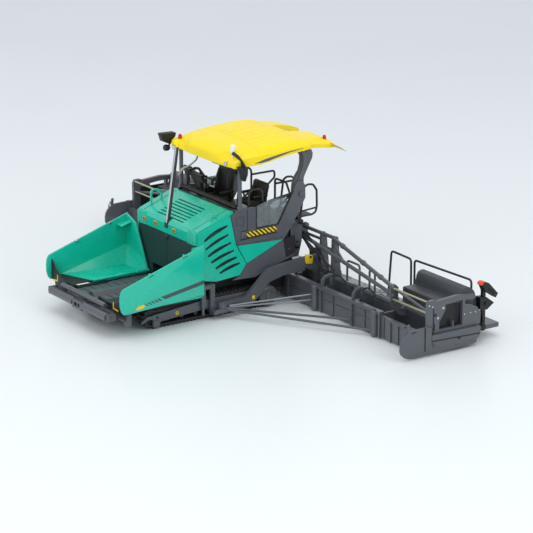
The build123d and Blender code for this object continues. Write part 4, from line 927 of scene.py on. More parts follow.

# %% [markdown]
# ### Vent slots
# Six slots curve over each green side panel and widen in the middle. They are black sheets laid on the
# panel, painted shade for the dark inside of each slot. Each follows a smooth curve through three points,
# so the row keeps its sweep.

# %% vent slots
VENT_SLOTS = (
    # three points along each slot, front, middle and rear
    ((2.4, 36.4), (-3.6, 39.7), (-9.8, 41.4)),
    ((1.6, 32.4), (-4.2, 35.3), (-10.5, 37.2)),
    ((0.4, 29.0), (-5.4, 31.6), (-12.2, 33.2)),
    ((-1.2, 25.8), (-7.2, 28.1), (-13.6, 29.4)),
    ((-3.6, 22.6), (-9.2, 24.9), (-15.0, 26.1)),
    ((-5.8, 20.1), (-11.0, 22.1), (-16.5, 23.0)),
)
slots = new_shape()
for front, middle, rear in VENT_SLOTS:
    ends = [Vector((point[0], 0.0, point[1])) for point in (front, middle, rear)]
    bend = ends[1] * 2 - (ends[0] + ends[2]) / 2
    centres = [ends[0].lerp(bend, k / 8).lerp(bend.lerp(ends[2], k / 8), k / 8) for k in range(9)]
    halves = [0.3 + 0.25 * math.sin(math.pi * k / 8) for k in range(9)]
    upper = [(point.x, point.z + half) for point, half in zip(centres, halves)]
    lower = [(point.x, point.z - half) for point, half in zip(centres, halves)]
    add_plate(slots, upper + lower[::-1], SIDE_Y - 0.4, SIDE_Y + 0.22, 0.0)
mirror_shape(slots)
piece(slots, "side_panel_vent_slot_shades", BLACK, "tractor")
report("vent slots")

# %% [markdown]
# ### Recess shade, bolts and work lamps
# A thin black sheet lies over the recess at the rear of each side: the dark frame there, with the
# shade of the recess painted in. Small bolts hold the green panels, and a round work lamp looks back from
# under the platform on each side.

# %% recess shade, bolts and work lamps
# A thin black sheet: the dark frame behind the body, with painted shade for the recess.
recess_shade_sheet = new_shape()
add_plate(recess_shade_sheet, ((-40.4, 29.9), (-46.9, 31.2), (-46.9, 24.0), (-46.2, 22.0), (-42.1, 20.9)),
          SIDE_Y - 0.3, SIDE_Y + 0.06, 0.0)
mirror_shape(recess_shade_sheet)
piece(recess_shade_sheet, "rear_recess_frame_and_shade", BLACK_PAINT, "tractor")

green_bits = new_shape()
for x, z in ((4.6, 38.6), (-10.6, 43.8), (-14.4, 19.8), (-3.6, 17.8), (-18.6, 22.0), (-13.8, 32.4)):
    add_bolt(green_bits, (x, SIDE_Y + 0.2, z), (0, 1, 0), 0.36, 0.2)
mirror_shape(green_bits)
piece(green_bits, "side_panel_bolts", GREEN, "tractor")

work_lamps = new_shape()
add_turned(work_lamps, (-47.6, 21.6, 25.8), (-50.6, 23.0, 25.4),
           ((0, 1.2), (0.3, 1.7), (0.9, 1.8), (1.0, 1.5)))
mirror_shape(work_lamps)
piece(work_lamps, "rear_work_lamps", BLACK, "tractor")
report("covers, bolts and work lamps")

# %% [markdown]
# ## Hopper wings
# Each wing is a folded tub: an upright side wall, an end wall, a low floor, and two slanted facets
# that lead the load inwards. It is drawn as sheets that meet, as the real one is folded from plate.
# The left one is drawn and the right one is its mirror image.

# %% the tub of a wing
WING_OUT_Y = 32.8
WING_IN_Y = 31.8
WALL_LINE = ((49.9, 13.6), (50.5, 16.0), (50.6, 19.5), (50.2, 22.0), (49.1, 23.6), (47.2, 24.3),
             (7.1, 37.1), (7.1, 14.2), (47.0, 12.0), (48.7, 12.1))


def facet_sheet(shape, corners, wall):
    """A flat sheet through corners, with a wall below it."""
    made = [shape.verts.new(corner) for corner in corners]
    face = shape.faces.new(made)
    face.normal_update()
    if face.normal.z < 0:
        bmesh.ops.reverse_faces(shape, faces=[face])
    bmesh.ops.solidify(shape, geom=[face], thickness=wall)


def wing_shape():
    """The left wing with its hinge tube along the lower inner edge."""
    shape = new_shape()
    add_plate(shape, WALL_LINE, WING_IN_Y, WING_OUT_Y, 0.3)
    end_wall = ((14.4, 13.2), (14.9, 15.6), (24.0, 33.8), (31.9, 36.7), (31.9, 13.2))
    add_front_plate(shape, end_wall, 7.1, 8.1, 0.25)
    floor_line = ((8.0, 14.3), (36.9, 14.3), (46.9, WING_IN_Y), (8.0, WING_IN_Y))
    add_flat_plate(shape, floor_line, 12.7, 13.7, 0.1)
    low_rear = (11.4, 28.6, 13.3)
    facet_sheet(shape, ((45.4, WING_IN_Y, 13.3), (8.0, WING_IN_Y, 22.6), low_rear), 0.5)
    facet_sheet(shape, (low_rear, (8.0, WING_IN_Y, 22.6), (8.0, 18.0, 19.2), (8.0, 14.8, 13.8),
                        (10.0, 14.8, 13.3)), 0.5)
    add_plate(shape, ((8.0, 33.4), (13.4, 32.0), (13.4, 32.5), (8.0, 34.1)), 27.4, WING_IN_Y, 0.1)
    add_rod(shape, (7.1, 14.3, 14.0), (36.8, 14.3, 14.0), 0.62)
    for x in (12.0, 22.0, 32.0):
        add_rod(shape, (x - 2.0, 14.3, 14.0), (x + 2.0, 14.3, 14.0), 0.85)
    return shape


print("a wing is", WALL_LINE[0][0] - WALL_LINE[6][0], "mm long at its outer wall")

# %% [markdown]
# ### Both wings and what they carry
# The outer face has two slots, a yellow tag and a dark stripe that breaks up into slanted bars, all
# printed or pressed so thinly that they are raised by a few hundredths. A black flap makes the
# front of the floor. The pins are green on the left wing and bright on the right one.

# %% wings
for side, word in ((1, "left"), (-1, "right")):
    body = "wing_" + word
    tub = wing_shape()
    marks = new_shape()
    pins = new_shape()
    tag = new_shape()
    bars = new_shape()
    # The slots are dark green marks: painted shade for the inside of each slot.
    for x, z in ((17.0, 33.3), (34.6, 27.5)):
        add_plate(marks, ((x - 1.5, z + 0.25), (x + 1.2, z - 0.65), (x + 1.5, z - 0.25),
                          (x - 1.2, z + 0.65)), WING_OUT_Y - 0.1, WING_OUT_Y + 0.04, 0.0)
        add_rod(pins, (x, WING_IN_Y + 0.2, z + 0.4), (x, WING_IN_Y - 0.7, z + 0.4), 0.55)
    add_plate(tag, ((42.9, 13.3), (41.6, 14.9), (38.4, 15.3), (38.2, 14.0), (39.6, 13.5)),
              WING_OUT_Y - 0.1, WING_OUT_Y + 0.05, 0.0)
    add_plate(bars, ((7.2, 21.1), (7.2, 19.3), (27.6, 15.8), (29.9, 17.2)),
              WING_OUT_Y - 0.1, WING_OUT_Y + 0.03, 0.0)
    for k in range(5):
        x = 29.0 + 1.75 * k
        z = 15.6 - 0.30 * k
        width = 1.05 - 0.12 * k
        add_plate(bars, ((x, z), (x + width, z - 0.17), (x + width + 1.9, z + 1.1), (x + 1.9, z + 1.27)),
                  WING_OUT_Y - 0.1, WING_OUT_Y + 0.03, 0.0)
    if side < 0:
        for shape in (tub, marks, pins, tag, bars):
            flip_shape(shape)
    piece(tub, body + "_tub", GREEN, body, ("hopper_wing_" + word,), smooth=24.0)
    piece(marks, body + "_slots", DARK_GREEN, body)
    piece(pins, body + "_pins", GREEN if side > 0 else CHROME, body)
    flap = new_shape()
    flap_line = ((36.8, side * 13.9), (47.6, side * 13.9), (47.9, side * 24.0), (43.6, side * 31.6))
    add_flat_plate(flap, flap_line, 13.7, 14.1, 0.1)
    piece(flap, body + "_apron_flap", BLACK, body)
    piece(tag, body + "_tag", SIGN_YELLOW, body)
    piece(bars, body + "_stripe", PALE_PRINT, body)
    mark = new_shape()
    y0, y1 = (22.4, 26.6) if side > 0 else (-26.0, -30.6)
    lean = 0.5 if side > 0 else 0.7
    add_front_plate(mark, ((y0, 15.4), (y0 + side * 0.7, 15.4), (y0 + side * 0.7, 13.0),
                           (y1, 13.2 - lean), (y1, 12.5 - lean), (y0, 12.4)), 48.0, 48.16, 0.0)
    piece(mark, body + "_apron_mark", SIGN_YELLOW, body)

skirts = new_shape()
add_box(skirts, 29.6, 47.0, 12.0, 14.6, 12.1, 13.0, 0.1)
add_front_plate(skirts, ((19.4, 13.0), (31.4, 12.2), (30.6, 8.6), (21.0, 8.6)), 46.5, 46.9, 0.1)
mirror_shape(skirts)
piece(skirts, "hopper_front_skirts", BLACK, "tractor")
report("wings")

# %% [markdown]
# ## Undercarriage
# Behind the track's side plate run the rollers, and the big ring at the rear is the final drive,
# held by a circle of bolts. Bolts and caps repeat, so they come by loops.

# %% final drive and side plates
FRAME_FACE_Y = 25.3
under = new_shape()
for x, z in ((20.8, 5.9), (9.0, 5.6), (-2.0, 5.9), (-14.0, 6.2), (-24.0, 6.4)):
    add_bolt(under, (x, FRAME_FACE_Y, z), (0, 1, 0), 0.4, 0.2)
add_turned(under, (27.7, FRAME_FACE_Y - 0.2, 2.3), (27.7, FRAME_FACE_Y + 0.5, 2.3),
           ((0, 1.8), (0.8, 1.8), (1, 1.5)))
add_turned(under, (-31.4, 25.9, 5.3), (-31.4, 27.0, 5.3),
           ((0, 4.6), (0.5, 4.6), (0.8, 4.3), (1.0, 3.6)), 40)
add_turned(under, (-31.4, 26.6, 5.3), (-31.4, 27.6, 5.3), ((0, 2.0), (0.8, 2.0), (1.0, 1.6)), 32)
for k in range(8):
    turn = 2 * math.pi * k / 8
    add_bolt(under, (-31.4 + 3.3 * math.cos(turn), 26.9, 5.3 + 3.3 * math.sin(turn)), (0, 1, 0),
             0.34, 0.2)
for x0, z0 in ((-26.2, 6.6), (-27.4, 6.1), (-28.5, 5.8)):
    add_rod(under, (x0, 27.0, z0 - 0.4), (x0 - 1.6, 27.0, z0 + 2.4), 0.16, 10, 0.05)
mirror_shape(under)
piece(under, "undercarriage_caps_and_bolts", GREY, "tractor")

side_plates = new_shape()
PLATE = ((29.3, 6.6), (3.8, 8.9), (-28.0, 9.0), (-28.0, 5.2), (-8.6, 5.0), (5.2, 4.5), (24.8, 3.0),
         (27.0, 2.0), (29.4, 3.2))
ARCH = ((28.6, 6.5), (32.2, 6.3), (35.6, 4.1), (34.6, 3.1), (31.7, 4.9), (29.0, 4.4))
add_plate(side_plates, PLATE, 24.4, FRAME_FACE_Y, 0.2)
add_plate(side_plates, ARCH, 24.4, FRAME_FACE_Y - 0.05, 0.2)
add_rod(side_plates, (27.7, 24.4, 2.3), (27.7, FRAME_FACE_Y, 2.3), 1.9, 28)
add_rod(side_plates, (-31.4, 24.4, 5.3), (-31.4, 26.1, 5.3), 4.8, 40)
mirror_shape(side_plates)
piece(side_plates, "track_side_plates", GREY, "tractor")
report("final drive and side plates")

# %% [markdown]
# ### Beams, rollers and lashing marks
# A beam with seven rollers runs inside each track. It stands for the CAD part's frames, with the
# rollers round where those are plain. Yellow marks show where straps are hooked in.

# %% beams, rollers and lashing marks
ROLLERS = 7
beams = new_shape()
add_box(beams, -30.0, 28.0, 19.4, 23.4, 3.6, 8.2, 0.2)
for x in (-31.3, 28.7):
    add_rod(beams, (x, 19.0, 5.3), (x, 23.8, 5.3), 3.2, 28)
    add_rod(beams, (x, 17.6, 5.3), (x, 24.6, 5.3), 1.2, 20)
for k in range(ROLLERS):
    x = -23.3 + 44.0 * k / (ROLLERS - 1)
    add_rod(beams, (x, 19.2, 3.3), (x, 23.6, 3.3), 1.1, 20)
add_rod(beams, (27.9, 25.0, 5.3), (26.5, 25.0, 5.3), 0.62, 16)
add_turned(beams, (27.2, 25.0, 5.3), (27.2, FRAME_FACE_Y + 0.03, 5.3), ((0, 0.7), (1, 0.7)), 20)
mirror_shape(beams)
piece(beams, "track_beams_and_rollers", BLACK_PAINT, "tractor", ("track_frames",))

hole_marks = new_shape()
add_turned(hole_marks, (16.8, FRAME_FACE_Y - 0.1, 5.5), (16.8, FRAME_FACE_Y + 0.05, 5.5),
           ((0, 0.85), (1, 0.85)), 24)
add_box(hole_marks, -22.2, -20.6, 28.9, 29.25, 6.2, 8.0, 0.15)
mirror_shape(hole_marks)
piece(hole_marks, "yellow_lashing_marks", SIGN_YELLOW, "tractor")

# Black dots in the yellow rings are painted shade for the holes.
dots = new_shape()
add_turned(dots, (16.8, FRAME_FACE_Y, 5.5), (16.8, FRAME_FACE_Y + 0.08, 5.5), ((0, 0.38), (1, 0.38)), 16)
mirror_shape(dots)
piece(dots, "lashing_hole_shade", BLACK, "tractor")
report("beams, rollers and marks")

# %% [markdown]
# ## Tow points and guy rods
# The tow arms are pinned to a guide on each side. Two painted rods run from there out to the auger
# tunnels and keep them from bending back, and two short bare ones lie above them.

# %% tow points and guy rods
tow = new_shape()
add_turned(tow, (-5.0, 29.0, 5.0), (-5.0, 30.0, 5.0), ((0, 1.5), (0.6, 1.5), (1.0, 1.1)), 20)
for z in (3.2, 8.2, 12.6, 15.4):
    add_bolt(tow, (-1.0, 27.0, z), (0, 1, 0), 0.42, 0.25)
for z in (8.0, 13.0):
    add_bolt(tow, (3.8, 27.0, z), (0, 1, 0), 0.38, 0.25)
add_rod(tow, (3.8, 26.3, 2.4), (3.8, 26.3, 6.6), 0.7)
mirror_shape(tow)
piece(tow, "tow_point_caps", GREY, "tractor")

GUY_Y = 29.6
GUY_START_X = -6.4
guys = new_shape()
add_box(guys, -2.2, 0.2, 27.1, 30.2, 2.6, 4.4, 0.15)
add_box(guys, -7.6, -0.6, 28.9, 30.3, 2.8, 4.8, 0.25)
for start_z, end_y, end_z in ((4.7, 70.7, 3.4), (4.1, 86.2, 2.6)):
    add_rod(guys, (GUY_START_X, GUY_Y, start_z), (-45.4, end_y, end_z), 0.56, 16)
mirror_shape(guys)
piece(guys, "lower_guy_rods", GREY, "tractor", ("guy_rods",))

bright_guys = new_shape()
for start_z, end_z in ((5.6, 7.6), (5.0, 5.0)):
    add_rod(bright_guys, (GUY_START_X - 1.4, GUY_Y, start_z), (-44.6, 41.4, end_z), 0.42, 16)
mirror_shape(bright_guys)
piece(bright_guys, "upper_guy_rods", BARE_STEEL, "tractor")
report("tow points and guy rods")

# %% [markdown]
# ## Push bar and bumper
# Lorries are pushed with the bar and its two rollers. Bolts hold it, and the bumper behind has
# round corners and one thick tube across the hopper's front.

# %% push bar and bumper
bar = new_shape()
for y in (-22.0, -13.0, 13.0, 22.0):
    add_bolt(bar, (50.0, y, 9.2), (1, 0, 0), 0.45, 0.3)
for side in (1, -1):
    y = side * 25.4
    add_turned(bar, (52.1, y, 9.5), (52.1, y + side * 0.9, 9.5), ((0, 1.2), (0.7, 1.2), (1, 0.8)), 20)
add_rod(bar, (53.0, 0.0, 7.2), (53.0, 0.0, 11.5), 0.5)
piece(bar, "push_bar_bolts", GREY, "push_bar")

bumper_bits = new_shape()
for side in (1, -1):
    y = side * 26.4
    add_turned(bumper_bits, (43.0, y, 3.9), (43.0, y, 10.9),
               ((0, 1.3), (0.06, 1.75), (0.94, 1.75), (1, 1.3)), 28)
    add_rod(bumper_bits, (43.0, y, 10.6), (43.0, y, 11.6), 0.6)
    for z in (7.4, 8.8):
        add_bolt(bumper_bits, (45.0, side * 23.6, z), (1, 0, 0), 0.35, 0.2)
add_rod(bumper_bits, (49.9, -18.8, 13.2), (49.9, 18.8, 13.2), 1.12, 24)
for y in (-11.0, 11.0):
    add_rod(bumper_bits, (49.9, y - 0.8, 13.2), (49.9, y + 0.8, 13.2), 1.35, 24)
piece(bumper_bits, "bumper_corners_and_tube", GREY, "tractor")
report("push bar and bumper")

# %% [markdown]
# ## Augers
# Each auger is a round shaft with one helical flight a bay. The flight is a thin strip that winds
# round the shaft; it breaks off at the bearings, where the shaft carries a collar. A Screw modifier
# could wind it, but slices of the strip give it a real thickness and rounded rim at once.

# %% augers
AUGER_X = -52.0
AUGER_Z = 5.2
AUGER_R = 4.1
SHAFT_R = 1.28
PITCH = 8.0
TURN_STEPS = 36
STOPS = (2.7, 21.2, 45.2, 69.2, 91.2)


def flight_rings(y0, y1):
    """Square-cut slices of the strip, from the shaft to the rim and back."""
    count = int((y1 - y0) / PITCH * TURN_STEPS)
    rings = []
    for i in range(count + 1):
        turn = 2 * math.pi * i / TURN_STEPS
        y = y0 + PITCH * i / TURN_STEPS
        out = Vector((math.cos(turn), 0.0, math.sin(turn)))
        middle = Vector((AUGER_X, y, AUGER_Z))
        rings.append([middle + out * radius + Vector((0, shift_y, 0)) for radius, shift_y in
                      ((1.0, -0.28), (AUGER_R - 0.12, -0.26), (AUGER_R, -0.14), (AUGER_R, 0.14),
                       (AUGER_R - 0.12, 0.26), (1.0, 0.28))])
    return rings


for side, word in ((1, "left"), (-1, "right")):
    auger = new_shape()
    add_rod(auger, (AUGER_X, 3.2, AUGER_Z), (AUGER_X, 91.6, AUGER_Z), SHAFT_R, 28)
    for y0, y1 in zip(STOPS, STOPS[1:]):
        add_rings(auger, flight_rings(y0 + 1.0, y1 - 1.0))
        for y in (y0 + 0.9, y1 - 1.1):
            add_rod(auger, (AUGER_X, y - 0.35, AUGER_Z), (AUGER_X, y + 0.35, AUGER_Z), 1.9, 24)
    if side < 0:
        flip_shape(auger)
    piece(auger, "auger_flights_" + word, BLACK_PAINT, "auger_" + word, ("auger_" + word,))
report("augers")

# %% [markdown]
# ## Auger tunnels
# Bearing hooks rise over the tunnel plates, and the posts at the joints are turned with collars and
# caps. A ledge and upright ribs stiffen the front of the plates.

# %% tunnel hooks, posts and ribs
tunnels = new_shape()
HOOK = ((-47.7, 11.4), (-46.3, 12.2), (-46.3, 15.2), (-47.9, 17.0), (-50.8, 17.8), (-52.2, 17.4),
        (-52.4, 16.2), (-50.6, 16.2), (-48.5, 15.5), (-47.9, 14.2))
for y in (46.6, 70.4):
    add_plate(tunnels, HOOK, y - 0.6, y + 0.6, 0.2)
    add_rod(tunnels, (-51.6, y - 1.4, 16.9), (-51.6, y + 1.4, 16.9), 0.6)
    add_plate(tunnels, ((-52.4, 16.6), (-50.8, 16.6), (-51.0, 11.0), (-52.2, 11.0)),
              y - 0.7, y + 0.7, 0.2)
for y in (42.6, 88.0):
    add_turned(tunnels, (-45.8, y, 0.7), (-45.8, y, 12.2),
               ((0, 1.5), (0.03, 1.85), (0.2, 1.85), (0.22, 1.7), (0.8, 1.7), (0.82, 1.9), (0.97, 1.9),
                (1, 1.5)), 28)
    add_turned(tunnels, (-45.8, y, 12.0), (-45.8, y, 13.0), ((0, 0.7), (0.7, 0.7), (1, 0.45)), 16)
for y in (27.0, 33.0, 52.6, 61.6, 77.0, 83.0):
    add_bolt(tunnels, (-46.4, y, 10.2), (1, 0, 0), 0.4, 0.22)
    add_bolt(tunnels, (-46.4, y, 1.9), (1, 0, 0), 0.4, 0.22)
add_box(tunnels, -46.5, -46.1, 18.6, 91.4, 6.3, 6.9, 0.1)
for y in (56.0, 80.0):
    add_box(tunnels, -46.5, -45.9, y - 0.4, y + 0.4, 0.8, 11.2, 0.1)
for y in (94.0, 104.6, 111.0):
    add_box(tunnels, -46.5, -45.9, y - 0.4, y + 0.4, 0.8, 10.6, 0.1)
mirror_shape(tunnels)
piece(tunnels, "tunnel_hooks_and_caps", GREY, "tractor")
report("tunnels")

# %% [markdown]
# ### Hoses to the auger bearings
# These are moulded with the tunnel on the model and are fixed at both ends, so each is a rigid tube
# that rides on the tractor.

# %% auger hoses
hoses = new_shape()
add_tube(hoses, ((-51.6, 47.8, 16.9), (-53.2, 50.0, 17.6), (-54.4, 54.0, 15.2), (-53.0, 58.0, 12.4)),
         0.42, 3.0)
add_tube(hoses, ((-51.6, 71.6, 16.9), (-53.0, 74.0, 17.6), (-54.2, 77.0, 14.8), (-53.0, 79.0, 12.2)),
         0.42, 3.0)
add_tube(hoses, ((-47.8, 24.0, 12.4), (-50.0, 27.0, 16.0), (-50.4, 34.0, 15.4), (-48.6, 44.0, 13.2)),
         0.45, 3.0)
mirror_shape(hoses)
piece(hoses, "auger_hoses", BLACK, "tractor")
report("auger hoses")

# %% [markdown]
# ## Screed
# The outer section is one long rounded roll with a shelf in front, the same shape all along, so it
# is an outline carried sideways, with a thin raised rim at both ends.

# %% outer rolls
roll = new_shape()
ROLL = ((-57.6, 2.9), (-57.6, 12.4), (-58.4, 13.4), (-62.2, 13.4), (-62.2, 19.4), (-62.6, 19.9),
        (-68.8, 19.9), (-69.2, 22.2), (-69.7, 24.2), (-70.5, 25.4), (-71.8, 26.0), (-73.4, 26.0),
        (-75.0, 25.2), (-76.4, 23.7), (-77.4, 21.2), (-77.9, 18.2), (-78.0, 2.9))
add_plate(roll, ROLL, 86.25, 118.95, 0.3)
for y in (86.2, 119.0):
    add_plate(roll, ((-69.4, 20.6), (-70.6, 24.7), (-73.0, 25.4), (-75.8, 23.0), (-77.4, 18.2),
                     (-77.4, 15.4), (-69.4, 15.4)), y - 0.12, y + 0.12, 0.1)
mirror_shape(roll)
piece(roll, "outer_section_rolls", ROLL_GREY, "screed", ("screed_sections_outer",),
      smooth=32.0)
report("outer rolls")

# %% [markdown]
# ### Truss tubes and caps
# Two long tubes with clamps run from the middle bracket to the end of the screed, and low hoops
# stand on its sections. Round caps close every pin of the brackets.

# %% truss
TRUSS_INNER = Vector((-59.4, 38.0, 30.4))
TRUSS_OUTER = Vector((-50.2, 94.0, 24.2))
truss_bits = new_shape()
for y in (38.4, 28.4):
    for x, z in ((-60.0, 30.6), (-58.8, 25.0), (-60.4, 20.4)):
        add_turned(truss_bits, (x, y + 0.3, z), (x, y + 0.9, z), ((0, 1.15), (0.7, 1.15), (1, 0.8)), 20)
add_turned(truss_bits, (-60.4, 13.6, 31.2), (-60.4, 15.4, 31.2), ((0, 1.4), (0.8, 1.4), (1, 1.0)), 20)
add_rod(truss_bits, TRUSS_INNER, TRUSS_OUTER, 0.92, 20)
add_rod(truss_bits, (-57.2, 13.0, 28.0), (-50.8, 94.0, 20.2), 0.92, 20)
for share in (0.16, 0.52, 0.82):
    middle = TRUSS_INNER.lerp(TRUSS_OUTER, share)
    run = (TRUSS_OUTER - TRUSS_INNER).normalized()
    add_rod(truss_bits, middle - run * 0.9, middle + run * 0.9, 1.2, 20)
for x, z in ((-50.2, 24.0), (-50.4, 20.2), (-52.0, 17.0), (-55.6, 13.4)):
    add_turned(truss_bits, (x, 95.1, z), (x, 95.9, z), ((0, 0.95), (0.6, 0.95), (1, 0.7)), 18)
for y0, y1, x, z in ((44.5, 54.0, -62.3, 21.4), (64.0, 68.0, -60.5, 22.4)):
    add_tube(truss_bits, ((x, y0, 9.6), (x, y0, z), (x, y1, z), (x, y1, 9.6)), 0.52, 1.8)
mirror_shape(truss_bits)
piece(truss_bits, "truss_tubes_and_caps", GREY, "screed")
report("truss")

# %% [markdown]
# ### Hoses, flanges and tags of the screed
# Short hoses drop from the truss to the sections and are fixed at both ends. Flanges stand where
# two sections are bolted together, and a yellow tag with a hole hangs on each tow arm.

# %% hoses, flanges and tags
screed_hoses = new_shape()
add_tube(screed_hoses,
         ((-57.0, 16.0, 27.4), (-55.0, 22.0, 26.0), (-55.4, 30.0, 19.0), (-56.4, 36.0, 14.0)), 0.5, 4.0)
add_tube(screed_hoses,
         ((-57.4, 14.4, 29.4), (-55.6, 24.0, 28.6), (-56.4, 33.0, 22.0), (-57.0, 38.0, 15.0)), 0.4, 4.0)
add_tube(screed_hoses,
         ((-62.0, 66.0, 10.4), (-61.0, 72.0, 12.6), (-60.6, 80.0, 11.6), (-60.2, 88.0, 13.0)), 0.4, 3.0)
mirror_shape(screed_hoses)
piece(screed_hoses, "screed_hoses", BLACK, "screed")

sections = new_shape()
for y0, y1 in ((0.0, 24.4), (25.6, 54.4), (55.6, 85.4)):
    for y in (y0 + 0.3, y1 - 0.3):
        add_plate(sections, ((-57.7, 3.2), (-57.7, 12.4), (-58.4, 13.5), (-59.9, 13.1), (-67.1, 8.5),
                             (-78.0, 6.1), (-78.0, 3.2)), y - 0.3, y + 0.3, 0.06)
    for y in (y0 + 3.0, (y0 + y1) / 2, y1 - 3.0):
        add_bolt(sections, (-70.0, y, 7.6), (0, 0, 1), 0.5, 0.3)
        add_bolt(sections, (-75.6, y, 6.5), (0, 0, 1), 0.5, 0.3)
mirror_shape(sections)
piece(sections, "section_flanges_and_bolts", GREY, "screed")

tow_tag = new_shape()
add_plate(tow_tag, ((-49.5, 22.6), (-53.2, 21.8), (-53.8, 20.6), (-53.4, 17.6), (-50.2, 18.0),
                    (-49.6, 19.2)), 29.1, 29.7, 0.12)
mirror_shape(tow_tag)
piece(tow_tag, "tow_arm_tag", SIGN_YELLOW, "screed")

# A black disc on the tag is painted shade for its hole.
tag_hole = new_shape()
add_turned(tag_hole, (-52.4, 29.6, 20.9), (-52.4, 29.76, 20.9), ((0, 0.65), (1, 0.65)), 16)
mirror_shape(tag_hole)
piece(tag_hole, "tow_arm_tag_hole_shade", BLACK, "screed")

brass = new_shape()
for z in (23.6, 18.6):
    add_rod(brass, (-50.0, 95.4, z), (-50.0, 119.6, z), 0.42, 16)
mirror_shape(brass)
piece(brass, "threaded_spindles", BRASS, "screed", ("gate_spindles",))
report("hoses, flanges, tags and spindles")

# %% [markdown]
# ## End gates
# A gate closes each end of the screed: a low plate with a rounded nose in front, an upright
# strap and a raised rib. Dark slivers lie in its gaps as painted shade, where the real one is open.

# %% end gates
GATE_Y = 123.0
gate = new_shape()
GATE = ((-33.8, 4.6), (-33.8, 7.4), (-34.3, 9.2), (-35.3, 10.8), (-36.8, 12.2), (-38.8, 13.2),
        (-46.8, 13.5), (-46.8, 8.8), (-76.8, 8.8), (-76.8, 4.6), (-73.4, 1.3), (-42.0, 0.4),
        (-38.4, 0.7), (-36.2, 1.6), (-34.5, 3.0))
add_plate(gate, GATE, GATE_Y - 1.2, GATE_Y, 0.28)
add_plate(gate, ((-46.9, 2.6), (-46.9, 13.6), (-50.0, 13.2), (-50.0, 2.6)),
          GATE_Y - 1.0, GATE_Y + 0.55, 0.22)
add_plate(gate, ((-50.3, 6.9), (-50.3, 9.4), (-76.9, 9.2), (-76.9, 6.0)),
          GATE_Y - 1.0, GATE_Y + 0.35, 0.2)
add_plate(gate, ((-37.2, 12.6), (-38.6, 12.8), (-38.9, 16.2), (-37.6, 16.0)),
          GATE_Y - 0.9, GATE_Y - 0.3, 0.12)
add_tube(gate, ((-51.2, GATE_Y - 0.1, 6.3), (-51.2, GATE_Y + 0.3, 4.4), (-52.6, GATE_Y + 0.3, 4.1)),
         0.28, 0.6)
GATE_BOLTS = (
    # x, z, how far the seat stands out from the gate
    (-55.0, 3.0, 0.0),
    (-64.0, 2.4, 0.0),
    (-72.6, 3.0, 0.0),
    (-48.4, 12.0, 0.35),
    (-48.4, 4.0, 0.35),
    (-60.0, 8.1, 0.25),
    (-70.0, 8.0, 0.0),
)
for x, z, seat in GATE_BOLTS:
    add_bolt(gate, (x, GATE_Y + seat, z), (0, 1, 0), 0.4, 0.2)
add_tube(gate, ((-35.9, GATE_Y - 0.6, 11.6), (-36.2, GATE_Y - 0.5, 13.2), (-37.0, GATE_Y - 0.6, 13.6),
                (-36.8, GATE_Y - 0.6, 14.8)), 0.25, 0.8)
mirror_shape(gate)
piece(gate, "end_gate_plates", GREY, "screed", ("end_gates",))

# Black slivers in the gaps: painted shade where the gate is open.
gate_dark = new_shape()
add_plate(gate_dark, ((-39.5, 11.9), (-42.1, 12.2), (-42.1, 12.7), (-39.5, 12.5)),
          GATE_Y - 0.05, GATE_Y + 0.04, 0.0)
add_box(gate_dark, -46.85, -46.55, GATE_Y - 0.1, GATE_Y + 0.05, 2.8, 13.4, 0.0)
add_box(gate_dark, -50.35, -50.05, GATE_Y - 0.1, GATE_Y + 0.3, 9.4, 13.2, 0.0)
add_plate(gate_dark, ((-50.2, 6.3), (-50.2, 6.9), (-76.8, 6.0), (-76.8, 5.4)),
          GATE_Y - 0.05, GATE_Y + 0.06, 0.0)
add_plate(gate_dark, ((-63.6, 6.4), (-66.8, 6.2), (-65.3, 4.7)), GATE_Y - 0.05, GATE_Y + 0.08, 0.0)
mirror_shape(gate_dark)
piece(gate_dark, "end_gate_gap_shade", BLACK, "screed")
report("end gates")

# %% [markdown]
# ### End frames
# Bright bolts hold the frame that stands behind each gate. A dark sheet behind its opening gives
# the depth that the shallow casting lacks.

# %% bolts and shadows of the end frames
FRAME_OUT_Y = 121.6
bright = new_shape()
for x, z in ((-57.4, 20.1), (-54.6, 16.0), (-68.9, 15.3), (-72.2, 15.4), (-75.0, 15.2), (-49.8, 22.3),
             (-51.6, 21.6)):
    size = 0.62 if -60 < x < -52 else 0.4
    add_turned(bright, (x, FRAME_OUT_Y - 0.1, z), (x, FRAME_OUT_Y + 0.45, z),
               ((0, size), (0.5, size), (1, size * 0.5)), 18)
mirror_shape(bright)
piece(bright, "end_frame_bolts", CHROME, "screed")

frame_bits = new_shape()
add_turned(frame_bits, (-53.2, FRAME_OUT_Y - 0.2, 17.6), (-53.2, FRAME_OUT_Y + 0.1, 17.6),
           ((0, 0.7), (1, 0.7)), 16)
add_box(frame_bits, -66.6, -53.0, 119.25, 119.5, 9.2, 20.4, 0.0)
add_plate(frame_bits, ((-51.9, 4.4), (-51.9, 20.6), (-52.5, 20.6), (-52.5, 4.4)), FRAME_OUT_Y - 0.1,
          FRAME_OUT_Y + 0.06, 0.0)
mirror_shape(frame_bits)
piece(frame_bits, "end_frame_shadows", BLACK, "screed")
report("end frames")

# %% [markdown]
# ### Control panels
# A bent panel with three buttons leans out behind each end frame, on a thin stalk. The near one
# has an orange grip on top.

